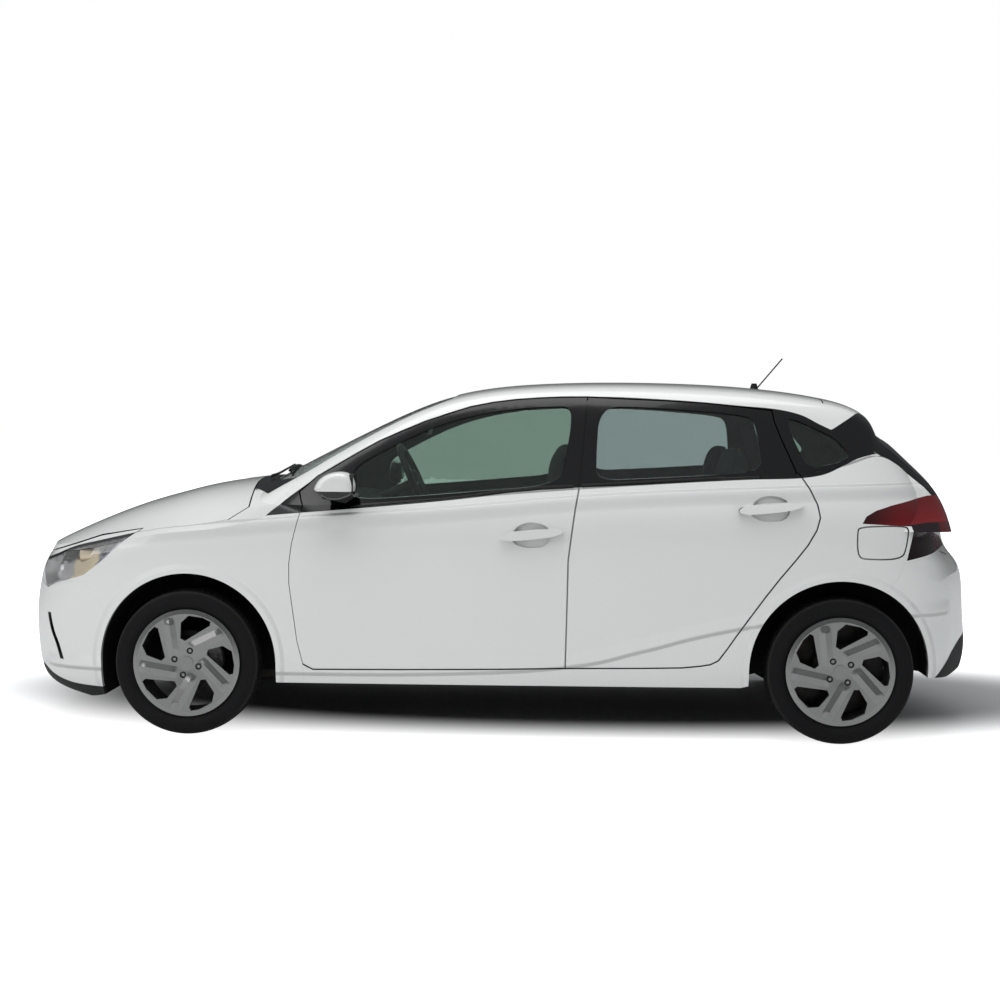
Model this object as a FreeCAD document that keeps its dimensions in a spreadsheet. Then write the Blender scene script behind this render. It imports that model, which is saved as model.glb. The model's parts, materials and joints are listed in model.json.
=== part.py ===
# A small five-door hatchback, built as separate panels and running gear.
# X runs to the rear, Y to the right-hand side, Z up; the ground is at zero.
import FreeCAD, Part
import Sketcher
import os
from FreeCAD import Vector, Placement, Rotation

doc = FreeCAD.newDocument("hatchback")

# Sizes in millimetres and degrees, each written once.
SIZES = {
    "wheel_base": 2580,
    "front_overhang": 765,
    "rear_overhang": 650,
    "body_width": 1775,
    "body_height": 1435,
    "tyre_radius": 290,
    "tyre_width": 185,
    "bead_radius": 206,
    "wheel_offset": 770,
    "rim_flange": 213,
    "rim_wall": 12,
    "hub_radius": 32,
    "hub_play": 0.3,
    "arch_gap": 67,
    "arch_depth": 300,
    "liner_wall": 4,
    "skin": 24,
    "upper_skin": 18,
    "door_depth": 100,
    "frame_depth": 40,
    "jamb": 24,
    "shut_gap": 6,
    "panel_gap": 0.3,
    "seat_gap": 0.3,
    "glass_inset": 4,
    "glass": 5,
    "mirror_reach": 130,
    "floor_height": 222,
    "floor_plate": 16,
    "overrun": 400,
    "front_arch_depth": 395,
    "slot_gap": 6,
    "steer_axis": 700,
    "disc_gap": 5,
    "bulkhead": 12,
    "engine_length": 430,
    "engine_width": 640,
    "engine_height": 430,
    "engine_start": 1700,
    "radiator_width": 680,
    "radiator_height": 380,
    "radiator_depth": 40,
    "radiator_start": 1830,
    "subframe_ahead": 600,
    "subframe_width": 900,
    "subframe_height": 60,
    "subframe_base": 178,
    "arm_length": 90,
    "arm_height": 34,
    "arm_reach": 715,
    "kingpin_radius": 12,
    "bracket_length": 60,
    "bracket_reach": 78,
    "bracket_height": 20,
    "bracket_rise": 40,
    "strut_place": 640,
    "strut_drop": 1.2,
    "carrier_radius": 52,
    "carrier_depth": 36,
    "strut_radius": 22,
    "beam_radius": 45,
    "trail_length": 330,
    "trail_width": 60,
    "trail_height": 70,
    "trail_place": 535,
    "tank_length": 240,
    "tank_width": 980,
    "tank_height": 140,
    "tank_base": 228,
    "tank_start": 1010,
    "pipe_radius": 24,
    "pipe_height": 180,
    "pipe_place": 60,
    "pipe_start": 948,
    "pipe_length": 2450,
    "muffler_radius": 56,
    "muffler_length": 400,
    "dash_depth": 330,
    "dash_width": 1250,
    "dash_height": 300,
    "dash_base": 640,
    "dash_start": 880,
    "console_length": 620,
    "console_width": 180,
    "cushion_length": 500,
    "cushion_width": 500,
    "cushion_base": 300,
    "back_height": 640,
    "head_width": 260,
    "seat_place": 345,
    "front_seat_start": 230,
    "rear_seat_start": 478,
    "bench_width": 1240,
    "steering_ring": 180,
    "steering_grip": 15,
    "steering_place": 360,
    "steering_start": 430,
    "steering_height": 975,
    "column_length": 260,
    "column_radius": 26,
    "antenna_radius": 3,
    "antenna_length": 190,
    "antenna_base_radius": 22,
    "antenna_base_height": 36,
    "antenna_place": 1085,
    "antenna_lean": 40,
    "column_lean": 65,
    "rear_wheel_turn": 141.5,
    "moving_gap": 5,
    "buffer_length": 40,
    "buffer_width": 14,
    "slot_depth": 12,
    "handle_reach": 30,
    "handle_grip": 9,
    "handle_sink": 3,
    "cup_depth": 12,
    "flap_depth": 12,
    "lens": 4,
    "lamp_wall": 6,
    "lamp_depth": 60,
    "reflector_radius": 32,
    "slat_height": 14,
    "slat_pitch": 34,
    "nut_circle": 50,
    "nut_radius": 8.5,
    "nut_well": 13,
    "nut_depth": 9,
    "cap_radius": 26,
    "pad_length": 110,
    "pad_width": 50,
    "pad_height": 22,
    "pad_place": 690,
    "pad_front": 640,
    "pad_rear": 720,
}
sheet = doc.addObject("Spreadsheet::Sheet", "Sizes")
for row_number, (alias, value) in enumerate(SIZES.items(), start=1):
    sheet.set("A" + str(row_number), alias)
    sheet.set("B" + str(row_number), str(value))
    sheet.setAlias("B" + str(row_number), alias)
doc.recompute()


def size(name):
    """A named size, read back from the sheet."""
    return float(getattr(sheet, name))


WHEEL_BASE = size("wheel_base")
FRONT_OVERHANG = size("front_overhang")
REAR_OVERHANG = size("rear_overhang")
HALF_WIDTH = size("body_width") / 2
HEIGHT = size("body_height")
FRONT_AXLE = FRONT_OVERHANG - (FRONT_OVERHANG + WHEEL_BASE + REAR_OVERHANG) / 2
REAR_AXLE = FRONT_AXLE + WHEEL_BASE
ACROSS = Vector(0, 1, 0)
UP = Vector(0, 0, 1)
AHEAD = Vector(1, 0, 0)
ORIGIN = Vector(0, 0, 0)


def along(share):
    """Station along the car: -1 nose, 0 front axle, 1 rear axle, 2 tail."""
    if share < 0:
        return FRONT_AXLE + share * FRONT_OVERHANG
    if share <= 1:
        return FRONT_AXLE + share * WHEEL_BASE
    return REAR_AXLE + (share - 1) * REAR_OVERHANG


def rise(share):
    """Height above the ground as a share of the body height."""
    return share * HEIGHT


def wide(share):
    """Distance from the centre plane as a share of the half width."""
    return share * HALF_WIDTH


def between(table, share):
    """Straight-line reading of a table of (station, value) pairs."""
    for (low, first), (high, last) in zip(table, table[1:]):
        if share <= high:
            return first + (last - first) * (share - low) / (high - low)
    return table[-1][1]


def knots(count, degree=3):
    """Knot values and repeats of a clamped curve with so many poles."""
    spans = count - degree
    values = [span / spans for span in range(spans + 1)]
    repeats = [degree + 1] + [1] * (spans - 1) + [degree + 1]
    return values, repeats


def net_face(net):
    """A smooth cubic face pulled towards the points of a control net."""
    u_values, u_repeats = knots(len(net))
    v_values, v_repeats = knots(len(net[0]))
    surface = Part.BSplineSurface()
    surface.buildFromPolesMultsKnots(net, u_repeats, v_repeats, u_values, v_values, False, False, 3, 3)
    return surface


def inset_net(net, depth, closed):
    """The same net moved inwards along its own normals."""
    if depth == 0:
        return net
    moved = []
    rows = len(net)
    columns = len(net[0])
    for i in range(rows):
        line = []
        for j in range(columns):
            low = net[max(i - 1, 0)][j]
            high = net[min(i + 1, rows - 1)][j]
            before = net[i][j - 1] if j > 0 else (net[i][columns - 2] if closed else net[i][j])
            after = net[i][j + 1] if j < columns - 1 else (net[i][1] if closed else net[i][j])
            normal = (high - low).cross(after - before)
            if normal.Length > 0:
                normal.normalize()
            line.append(net[i][j] + normal * depth)
        moved.append(line)
    return moved


# Plan outline of the lower body, nose to tail: station and half width.
PLAN_SHARES = (
    (-1.0, 0.0), (-1.0, 0.25), (-0.955, 0.50), (-0.875, 0.70), (-0.74, 0.84), (-0.52, 0.925),
    (-0.22, 0.965), (0.05, 0.982), (0.25, 0.995), (0.5, 1.0), (0.75, 1.0), (0.95, 0.995),
    (1.15, 0.982), (1.38, 0.955), (1.58, 0.90), (1.71, 0.79), (1.82, 0.60), (1.99, 0.28), (2.0, 0.0),
)
# Rows from the underside to above the waist: heights at the nose, front axle, bulkhead, middle,
# rear axle and tail, then how far the row reaches to the nose, the side and the tail.
ROW_SHARES = (
    ((0.060, 0.060, 0.060, 0.060, 0.060, 0.060), 0.60, 0.84, 0.84),
    ((0.085, 0.100, 0.100, 0.100, 0.110, 0.130), 0.80, 0.92, 0.93),
    ((0.110, 0.148, 0.150, 0.152, 0.165, 0.180), 0.94, 0.970, 0.970),
    ((0.170, 0.210, 0.210, 0.212, 0.225, 0.240), 0.985, 0.982, 0.990),
    ((0.260, 0.300, 0.300, 0.300, 0.310, 0.330), 1.0, 0.988, 0.965),
    ((0.340, 0.400, 0.410, 0.410, 0.420, 0.420), 1.0, 0.996, 0.962),
    ((0.410, 0.480, 0.500, 0.510, 0.520, 0.478), 0.975, 1.0, 0.93),
    ((0.450, 0.530, 0.555, 0.575, 0.590, 0.510), 0.955, 0.998, 0.84),
    ((0.490, 0.570, 0.600, 0.625, 0.640, 0.560), 0.910, 0.992, 0.80),
    ((0.540, 0.610, 0.640, 0.665, 0.685, 0.625), 0.855, 0.970, 0.815),
    ((0.600, 0.660, 0.690, 0.710, 0.740, 0.700), 0.78, 0.935, 0.72),
    ((0.860, 0.860, 0.860, 0.860, 0.860, 0.860), 0.60, 0.86, 0.40),
)
STATION_SHARES = (-1.0, 0.0, 0.17, 0.6, 1.0, 2.0)


def lower_net():
    """Closed rows of points round the lower body, seam at the tail."""
    net = []
    for heights, nose, side, tail in ROW_SHARES:
        table = tuple(zip(STATION_SHARES, heights))
        left = []
        for station, half in PLAN_SHARES:
            reach = nose if station < 0 else tail
            place = station * nose if station < 0 else station
            if station > 1:
                place = 1 + (station - 1) * tail
            left.append(Vector(along(place), -wide(half * side), rise(between(table, station))))
        left.reverse()
        right = [Vector(point.x, -point.y, point.z) for point in reversed(left[:-1])]
        net.append(left + right)
    return net


# Upper limit of the lower body: station, height on the centre plane, height at the edge.
TOP_SHARES = (
    (-1.10, 0.390, 0.320), (-1.00, 0.452, 0.390), (-0.94, 0.502, 0.420), (-0.80, 0.544, 0.448), (-0.60, 0.592, 0.478),
    (-0.40, 0.633, 0.515), (-0.20, 0.662, 0.545), (-0.05, 0.684, 0.557), (0.05, 0.702, 0.568),
    (0.10, 0.712, 0.592), (0.14, 0.700, 0.614), (0.22, 0.690, 0.626), (0.35, 0.690, 0.650), (0.60, 0.715, 0.693),
    (0.90, 0.745, 0.726), (1.05, 0.778, 0.754), (1.22, 0.808, 0.800), (1.36, 0.798, 0.752), (1.50, 0.780, 0.668),
    (1.70, 0.760, 0.610), (2.10, 0.740, 0.560),
)
CROWN_SHARES = ((0.0, 0.0), (0.25, 0.02), (0.50, 0.14), (0.68, 0.38), (0.80, 0.62), (0.90, 0.82), (1.0, 1.0), (1.15, 1.35))


def sheet_net(stations, halves, height_at):
    """Rows across the car at each station, left edge to right edge."""
    net = []
    for station in stations:
        left = [Vector(along(station), -wide(half), height_at(station, half)) for half in reversed(halves)]
        right = [Vector(point.x, -point.y, point.z) for point in reversed(left[:-1])]
        net.append(left + right)
    return net


def top_net():
    """Bonnet and shoulder surface."""
    table = dict((station, (centre, edge)) for station, centre, edge in TOP_SHARES)
    crown = dict(CROWN_SHARES)
    halves = [half for half, drop in CROWN_SHARES]

    def height_at(station, half):
        centre, edge = table[station]
        return rise(centre + (edge - centre) * crown[half])

    return sheet_net([entry[0] for entry in TOP_SHARES], halves, height_at)


# Glasshouse: station, centre height, corner height, corner half width.
HOUSE_SHARES = (
    (-0.06, 0.580, 0.530, 0.80), (0.02, 0.636, 0.555, 0.81), (0.08, 0.690, 0.598, 0.815), (0.14, 0.748, 0.665, 0.80),
    (0.20, 0.803, 0.742, 0.78), (0.27, 0.866, 0.818, 0.76), (0.33, 0.916, 0.876, 0.745), (0.38, 0.951, 0.914, 0.735),
    (0.44, 0.976, 0.944, 0.73), (0.52, 0.992, 0.962, 0.725), (0.65, 1.000, 0.970, 0.72), (0.80, 0.996, 0.962, 0.72),
    (0.92, 0.980, 0.946, 0.72), (1.00, 0.956, 0.926, 0.72), (1.12, 0.940, 0.906, 0.72), (1.205, 0.923, 0.880, 0.72),
    (1.242, 0.902, 0.850, 0.725), (1.262, 0.860, 0.824, 0.73), (1.34, 0.856, 0.798, 0.74), (1.44, 0.810, 0.752, 0.76),
    (1.55, 0.762, 0.708, 0.78), (1.64, 0.712, 0.665, 0.80), (1.69, 0.640, 0.600, 0.81), (1.70, 0.560, 0.545, 0.82),
)
HOUSE_BASE_SHARES = (0.99, 0.530)


def house_net():
    """Windscreen, roof, back window and leaning sides in one net."""
    base_half, base_height = HOUSE_BASE_SHARES
    net = []
    for station, centre, corner, half in HOUSE_SHARES:
        drop = centre - corner
        fall = corner - base_height
        spread = base_half - half
        section = (
            (0.0, centre), (half * 0.40, centre - drop * 0.05), (half * 0.75, centre - drop * 0.34),
            (half * 0.95, corner + drop * 0.30), (half + spread * 0.02, corner - fall * 0.06),
            (half + spread * 0.22, corner - fall * 0.28), (half + spread * 0.60, corner - fall * 0.66),
            (base_half, base_height), (base_half + spread * 0.25, base_height - fall * 0.3),
        )
        left = [Vector(along(station), -wide(y_share), rise(z_share)) for y_share, z_share in reversed(section)]
        right = [Vector(point.x, -point.y, point.z) for point in reversed(left[:-1])]
        net.append(left + right)
    return net


LOWER_NET = lower_net()
TOP_NET = top_net()
HOUSE_NET = house_net()


def closed_solid(net):
    """A solid inside closed rows of points; the first and last rows are flat."""
    surface = net_face(net)
    faces = [surface.toShape()]
    low_u, high_u, low_v, high_v = surface.bounds()
    for value in (low_u, high_u):
        faces.append(Part.Face(Part.Wire([surface.uIso(value).toShape()])))
    shell = Part.makeShell(faces)
    shell.sewShape()
    solid = Part.makeSolid(shell)
    if solid.Volume < 0:
        solid.reverse()
    return solid


def lower_solid(depth):
    """The lower body as a closed solid, moved in by a depth."""
    net = inset_net(LOWER_NET, -depth, True)
    for row in (0, -1):
        for moved, first in zip(net[row], LOWER_NET[row]):
            moved.z = first.z
    return closed_solid(net)


def under(net, depth, drop):
    """Everything below a surface, which is moved in by a depth."""
    face = net_face(inset_net(net, -depth, False)).toShape()
    solid = face.extrude(Vector(0, 0, -drop))
    if solid.Volume < 0:
        solid.reverse()
    return solid


def block(low, high):
    """A plain box from one corner to the other."""
    span = high - low
    return Part.makeBox(span.x, span.y, span.z, low)


OVER = size("overrun")
FAR = WHEEL_BASE + FRONT_OVERHANG + REAR_OVERHANG
WAIST_SHARE = 0.585
CABIN_WAIST_SHARE = 0.625
HOUSE_DROP_SHARE = 0.5


def above(share):
    """Everything above a height."""
    return block(Vector(-FAR, -FAR, rise(share)), Vector(FAR, FAR, HEIGHT + OVER))


def hull(lower_depth, upper_depth):
    """Lower body and bonnet without the glasshouse, moved in by two depths."""
    return lower_solid(lower_depth).common(under(TOP_NET, upper_depth, HEIGHT))


def house(depth):
    """Glasshouse down to the seats, moved in by a depth."""
    return under(HOUSE_NET, depth, rise(HOUSE_DROP_SHARE))


def whole(lower_depth, upper_depth, waist):
    """The car's closed outline moved in by two depths, below and above the waist."""
    return hull(lower_depth, upper_depth).fuse(house(upper_depth).common(above(waist)))


def inset_outline(points, gap):
    """A closed outline of (u, v) points moved inwards by a gap."""
    if gap == 0:
        return points
    turn = sum(a[0] * b[1] - b[0] * a[1] for a, b in zip(points, points[1:] + points[:1]))
    side = 1 if turn > 0 else -1
    moved = []
    count = len(points)
    for i in range(count):
        before, here, after = points[i - 1], points[i], points[(i + 1) % count]
        first = Vector(here[0] - before[0], here[1] - before[1], 0).normalize()
        second = Vector(after[0] - here[0], after[1] - here[1], 0).normalize()
        first_in = Vector(-first.y, first.x, 0) * side
        second_in = Vector(-second.y, second.x, 0) * side
        bisector = first_in + second_in
        bisector.normalize()
        reach = gap / max(bisector.dot(first_in), 0.5)
        moved.append((here[0] + bisector.x * reach, here[1] + bisector.y * reach))
    return moved


def side_outline(shares):
    """Side view outline in real lengths from (station, height) shares."""
    return [(along(station), rise(height)) for station, height in shares]


def prism(points, low, high, direction, soft=0):
    """A closed outline swept along X, Y or Z, with soft corners where asked."""
    if direction is ACROSS:
        corners = [Vector(u, low, v) for u, v in points]
    elif direction is UP:
        corners = [Vector(u, v, low) for u, v in points]
    else:
        corners = [Vector(low, u, v) for u, v in points]
    if soft:
        curve = Part.BSplineCurve()
        curve.buildFromPoles(corners, True, soft)
        wire = Part.Wire([curve.toShape()])
    else:
        wire = Part.makePolygon(corners + corners[:1])
    solid = Part.Face(wire).extrude(direction * (high - low))
    if solid.Volume < 0:
        solid.reverse()
    return solid


def left_prism(shares, gap=0, soft=0, inner=0):
    """A side outline cut through the left half only."""
    points = inset_outline(side_outline(shares), gap)
    return prism(points, -HALF_WIDTH - OVER, -inner, ACROSS, soft)


def solids_of(shape, least=0.02):
    """The shape's solids without the small chips, as one shape."""
    solids = sorted(shape.Solids, key=lambda solid: -solid.Volume)
    kept = [solid for solid in solids if solid.Volume > solids[0].Volume * least]
    return kept[0] if len(kept) == 1 else Part.makeCompound(kept)


def mirrored(shape):
    """The same shape on the other side of the centre plane."""
    return shape.mirror(ORIGIN, ACROSS)


def both(shape):
    """A left shape with its mirror image."""
    return Part.makeCompound(shape.Solids + mirrored(shape).Solids)


PIECES = []


def panel(label, shape):
    """A shape made in code, kept as one named object."""
    piece = doc.addObject("Part::Feature", label)
    piece.Shape = shape
    piece.Label = label
    piece.Placement = Placement(ORIGIN, Rotation())
    PIECES.append(piece)
    return piece


# Closed outlines of the car: the full shape, the backs of the moving and fixed skins, and the cabin.
SKIN = size("skin")
UPPER_SKIN = size("upper_skin")
MOVING = size("moving_gap")
OUTLINE = whole(0, 0, WAIST_SHARE)
LID_BACK = whole(SKIN - MOVING, UPPER_SKIN - MOVING, WAIST_SHARE)
INNER = whole(SKIN, UPPER_SKIN, WAIST_SHARE)
CABIN = whole(size("door_depth"), size("frame_depth"), CABIN_WAIST_SHARE)

# The underside line: everything under it is cut away.
UNDER_SHARES = (
    (-1.3, 0.0), (-1.3, 0.10), (-0.95, 0.086), (-0.60, 0.080), (-0.42, 0.105), (0.10, 0.150), (0.85, 0.154),
    (0.95, 0.20), (1.40, 0.19), (1.70, 0.172), (2.3, 0.180), (2.3, 0.0),
)
underside = prism(side_outline(UNDER_SHARES), -FAR, FAR, ACROSS)

# Round wheel arches and the spaces behind them.
ARCH_RADIUS = size("tyre_radius") + size("arch_gap")
ARCH_DEPTH = size("arch_depth")


def arch_space(growth):
    """Both left wheel spaces, grown by a wall where asked."""
    spaces = []
    for axle, depth in ((FRONT_AXLE, size("front_arch_depth")), (REAR_AXLE, ARCH_DEPTH)):
        start = Vector(axle, -HALF_WIDTH - OVER, size("tyre_radius"))
        round_space = Part.makeCylinder(ARCH_RADIUS + growth, OVER + depth + growth, start, ACROSS)
        low = Vector(axle - ARCH_RADIUS - growth, -HALF_WIDTH - OVER, -OVER)
        high = Vector(axle + ARCH_RADIUS + growth, -HALF_WIDTH + depth + growth, size("tyre_radius"))
        spaces.append(round_space.fuse(block(low, high)))
    return spaces[0].fuse(spaces[1])


arches = arch_space(0)
LEFT = block(Vector(-FAR, -FAR, -OVER), Vector(FAR, 0, HEIGHT + OVER))
left_outline = OUTLINE.common(LEFT)
outer_layer = left_outline.cut([INNER, underside, arches])
BULKHEAD_SHARE = 0.115
CABIN_END_SHARE = 1.86
SILL_SHARE = 0.10
shell_box = block(Vector(along(BULKHEAD_SHARE), -FAR, rise(SILL_SHARE)), Vector(along(CABIN_END_SHARE), 0, HEIGHT + OVER))
arches_grown = arch_space(size("liner_wall"))
shell = OUTLINE.common(shell_box).cut([CABIN, underside, arches, arches_grown.common(INNER)])

# Shut lines seen from the side.
FRONT_DOOR_SHARES = (
    (0.176, 0.630), (0.169, 0.583), (0.163, 0.537), (0.159, 0.483), (0.159, 0.429), (0.165, 0.349), (0.171, 0.270),
    (0.180, 0.205), (0.196, 0.190), (0.330, 0.193), (0.484, 0.198), (0.583, 0.203), (0.585, 0.391), (0.586, 0.501),
    (0.590, 0.560), (0.596, 0.640), (0.602, 0.700), (0.608, 0.820), (0.614, 0.948), (0.573, 0.947), (0.538, 0.944),
    (0.502, 0.939), (0.467, 0.931), (0.431, 0.918), (0.396, 0.898), (0.360, 0.876), (0.325, 0.849), (0.289, 0.820),
    (0.254, 0.785), (0.193, 0.719), (0.166, 0.676), (0.170, 0.652),
)
REAR_DOOR_SHARES = (
    (0.583, 0.203), (0.697, 0.206), (0.760, 0.209), (0.787, 0.214), (0.803, 0.219), (0.815, 0.230), (0.828, 0.262),
    (0.840, 0.294), (0.862, 0.350), (0.884, 0.405), (0.906, 0.457), (0.928, 0.505), (0.947, 0.549), (0.960, 0.590),
    (0.965, 0.623), (0.961, 0.658), (0.950, 0.700), (0.936, 0.738), (0.925, 0.785), (0.912, 0.840), (0.903, 0.885),
    (0.900, 0.914), (0.889, 0.916), (0.844, 0.925), (0.799, 0.933), (0.738, 0.939), (0.677, 0.943), (0.614, 0.948),
    (0.608, 0.820), (0.602, 0.700), (0.596, 0.640),
    (0.590, 0.560), (0.586, 0.501), (0.585, 0.391),
)
BONNET_PLAN_SHARES = (
    (-0.93, 0.0), (-0.925, 0.25), (-0.89, 0.46), (-0.78, 0.66), (-0.60, 0.775), (-0.40, 0.845), (-0.20, 0.885),
    (0.00, 0.905), (0.060, 0.895), (0.085, 0.80), (0.075, 0.40), (0.070, 0.0),
)
FRONT_BUMPER_SHARES = (
    (-1.3, 0.0), (-0.30, 0.0), (-0.40, 0.30), (-0.50, 0.385), (-0.56, 0.420), (-0.66, 0.418), (-0.78, 0.400),
    (-0.93, 0.440), (-1.3, 0.470),
)
HEADLAMP_SHARES = (
    (-1.02, 0.455), (-0.90, 0.480), (-0.735, 0.505), (-0.631, 0.522), (-0.501, 0.545), (-0.270, 0.568), (-0.359, 0.528),
    (-0.460, 0.480), (-0.560, 0.440), (-0.619, 0.430), (-0.735, 0.412), (-0.800, 0.396), (-0.93, 0.425), (-1.02, 0.44),
)
TAIL_LAMP_SHARES = (
    (1.115, 0.608), (1.138, 0.627), (1.200, 0.643), (1.301, 0.657), (1.410, 0.668), (1.542, 0.682), (1.80, 0.690),
    (1.92, 0.640), (1.90, 0.56), (1.78, 0.535), (1.640, 0.530), (1.535, 0.520), (1.390, 0.507), (1.415, 0.548),
    (1.436, 0.580), (1.422, 0.600),
)
REAR_BUMPER_SHARES = (
    (1.02, 0.0), (1.12, 0.30), (1.24, 0.40), (1.33, 0.455), (1.38, 0.500), (1.535, 0.512), (1.64, 0.522), (1.75, 0.505),
    (2.3, 0.495), (2.3, 0.0),
)
TAILGATE_REAR_SHARES = (
    (0.0, 0.500), (0.52, 0.500), (0.66, 0.512), (0.735, 0.540), (0.755, 0.60), (0.750, 0.68), (0.735, 0.74),
    (0.715, 0.80), (0.690, 0.86), (0.665, 0.90), (0.645, 1.2), (0.0, 1.2),
)
TAILGATE_START_SHARE = 0.982
FUEL_FLAP_SHARES = (
    (1.095, 0.600), (1.385, 0.602), (1.405, 0.588), (1.388, 0.545), (1.360, 0.511), (1.135, 0.511), (1.098, 0.517),
    (1.084, 0.537), (1.084, 0.585),
)
FRONT_WINDOW_SHARES = (
    (0.248, 0.655), (0.248, 0.700), (0.250, 0.742), (0.275, 0.772), (0.328, 0.823), (0.381, 0.865), (0.440, 0.896),
    (0.503, 0.914), (0.560, 0.921), (0.588, 0.921), (0.588, 0.86), (0.580, 0.78), (0.572, 0.703), (0.45, 0.684),
    (0.35, 0.668),
)
REAR_WINDOW_SHARES = (
    (0.628, 0.715), (0.628, 0.78), (0.632, 0.922), (0.70, 0.921), (0.79, 0.911), (0.850, 0.901), (0.874, 0.889),
    (0.880, 0.80), (0.882, 0.744), (0.80, 0.732), (0.70, 0.722),
)
QUARTER_WINDOW_SHARES = (
    (0.952, 0.757), (0.940, 0.800), (0.926, 0.860), (0.922, 0.893), (0.940, 0.886), (0.962, 0.868), (0.995, 0.840),
    (1.045, 0.808), (1.072, 0.790), (1.020, 0.774), (0.982, 0.762),
)
SCREEN_PLAN_SHARES = (
    (0.100, 0.0), (0.105, 0.35), (0.125, 0.58), (0.155, 0.720), (0.18, 0.725), (0.28, 0.690), (0.37, 0.655),
    (0.400, 0.60), (0.405, 0.30), (0.405, 0.0),
)
COWL_PLAN_SHARES = (
    (0.070, 0.0), (0.075, 0.40), (0.085, 0.80), (0.100, 0.84), (0.160, 0.77), (0.155, 0.720), (0.125, 0.58),
    (0.105, 0.35), (0.100, 0.0),
)
FENDER_SHARES = (
    (-1.3, 0.0), (-1.3, 0.90), (0.095, 0.90), (0.110, 0.69), (0.150, 0.664), (0.176, 0.630), (0.169, 0.583),
    (0.163, 0.537), (0.159, 0.483), (0.159, 0.429), (0.165, 0.349), (0.171, 0.270), (0.180, 0.205), (0.186, 0.0),
)
ROOF_PLAN_SHARES = (
    (0.415, 0.0), (0.413, 0.30), (0.410, 0.60), (0.410, 0.655), (0.60, 0.665), (0.80, 0.660), (0.978, 0.645),
    (0.978, 0.0),
)
BACK_WINDOW_SHARES = (
    (-0.60, 0.720), (-0.57, 0.70), (0.0, 0.695), (0.57, 0.70), (0.60, 0.720), (0.585, 0.80), (0.55, 0.880), (0.52, 0.893),
    (0.0, 0.900), (-0.52, 0.893), (-0.55, 0.880), (-0.585, 0.80),
)
GRILLE_SHARES = (
    (-0.62, 0.165), (-0.55, 0.140), (0.55, 0.140), (0.62, 0.165), (0.52, 0.265), (0.45, 0.285), (-0.45, 0.285),
    (-0.52, 0.265),
)

GRILLE_REACH_SHARES = (-1.3, -0.7)
POST_SHARES = (-0.30, 0.0, 0.30)
BUMPER_SLOT_SHARES = (
    (-0.785, 0.329), (-0.752, 0.279), (-0.718, 0.238), (-0.700, 0.194), (-0.736, 0.238), (-0.772, 0.279),
)
PLAN_LOW_SHARE = 0.3
BUFFER_SHARE = -0.10
GATE_BUFFER_SHARES = (1.914, 0.36, 0.490)
GATE_END_SHARE = 2.3
GLASS_START_SHARE = 1.30
GATE_LAMP_INNER_SHARE = 0.45
FLAP_BUFFER_SHARES = (1.245, 0.556)
DOOR_BUFFER_SHARES = ((0.5785, 0.33), (0.5785, 0.47), (0.5880, 0.33), (0.5890, 0.47))
FLOOR_SPLIT_SHARE = 0.865
REAR_FLOOR_SHARE = 0.268

SHUT = size("shut_gap")
PANEL = size("panel_gap")
JAMB = size("jamb")
SEAT = size("seat_gap")
glass_layer = house(size("glass_inset")).cut(house(size("glass_inset") + size("glass")))


def flat_edge(points, gap):
    """Puts points that an inset moved off the centre plane back on it."""
    return [(0 if abs(u) < abs(gap) + SHUT else u, v) for u, v in points]


def plan_prism(shares, gap=0):
    """A plan outline of the left half, carried straight up."""
    points = [(-wide(half), along(station)) for station, half in shares]
    points = [(v, u) for u, v in flat_edge(inset_outline(points, gap), gap)]
    return prism(points, rise(PLAN_LOW_SHARE), HEIGHT + OVER, UP)


def rear_prism(shares, gap, start, end):
    """An outline seen from behind, swept along the car."""
    points = [(-wide(half), rise(height)) for half, height in shares]
    return prism(flat_edge(inset_outline(points, gap), gap), start, end, AHEAD)


def full(shape):
    """A left half joined to its mirror image across the centre plane."""
    return shape.fuse(mirrored(shape)).removeSplitter()


# Pull handle: a bar on the skin with finger room behind it and a scooped cup.
HANDLE_SHARES = (
    (0.479, 0.562), (0.490, 0.576), (0.530, 0.584), (0.572, 0.588), (0.581, 0.578), (0.562, 0.564), (0.525, 0.556),
    (0.490, 0.551),
)
CUP_SHARES = (
    (0.500, 0.548), (0.515, 0.535), (0.533, 0.532), (0.552, 0.538), (0.560, 0.560), (0.556, 0.592), (0.535, 0.604),
    (0.515, 0.600), (0.502, 0.580),
)
REAR_HANDLE_SHARES = (0.3605, 0.078)
handle_band = lower_solid(-size("handle_reach")).cut(lower_solid(size("handle_sink")))
grip_band = lower_solid(-size("handle_grip")).cut(lower_solid(size("cup_depth")))


def shifted(shares, move):
    """An outline moved along and up by shares."""
    return tuple((station + move[0], height + move[1]) for station, height in shares)


def door(shares, window, move):
    """One left door: skin to the shut line, smaller inner layer, window opening and pull handle."""
    outer = left_prism(shares, SHUT / 2)
    ring = outer.cut(left_prism(shares, SHUT / 2 + JAMB)).common(LID_BACK)
    panel_shape = left_outline.common(outer).cut([CABIN, underside, arches_grown, ring, window])
    bar = handle_band.common(left_prism(shifted(HANDLE_SHARES, move), 0, 2))
    grip = grip_band.common(left_prism(shifted(CUP_SHARES, move), 0, 2))
    return solids_of(solids_of(panel_shape).fuse(bar).cut(grip))


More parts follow.
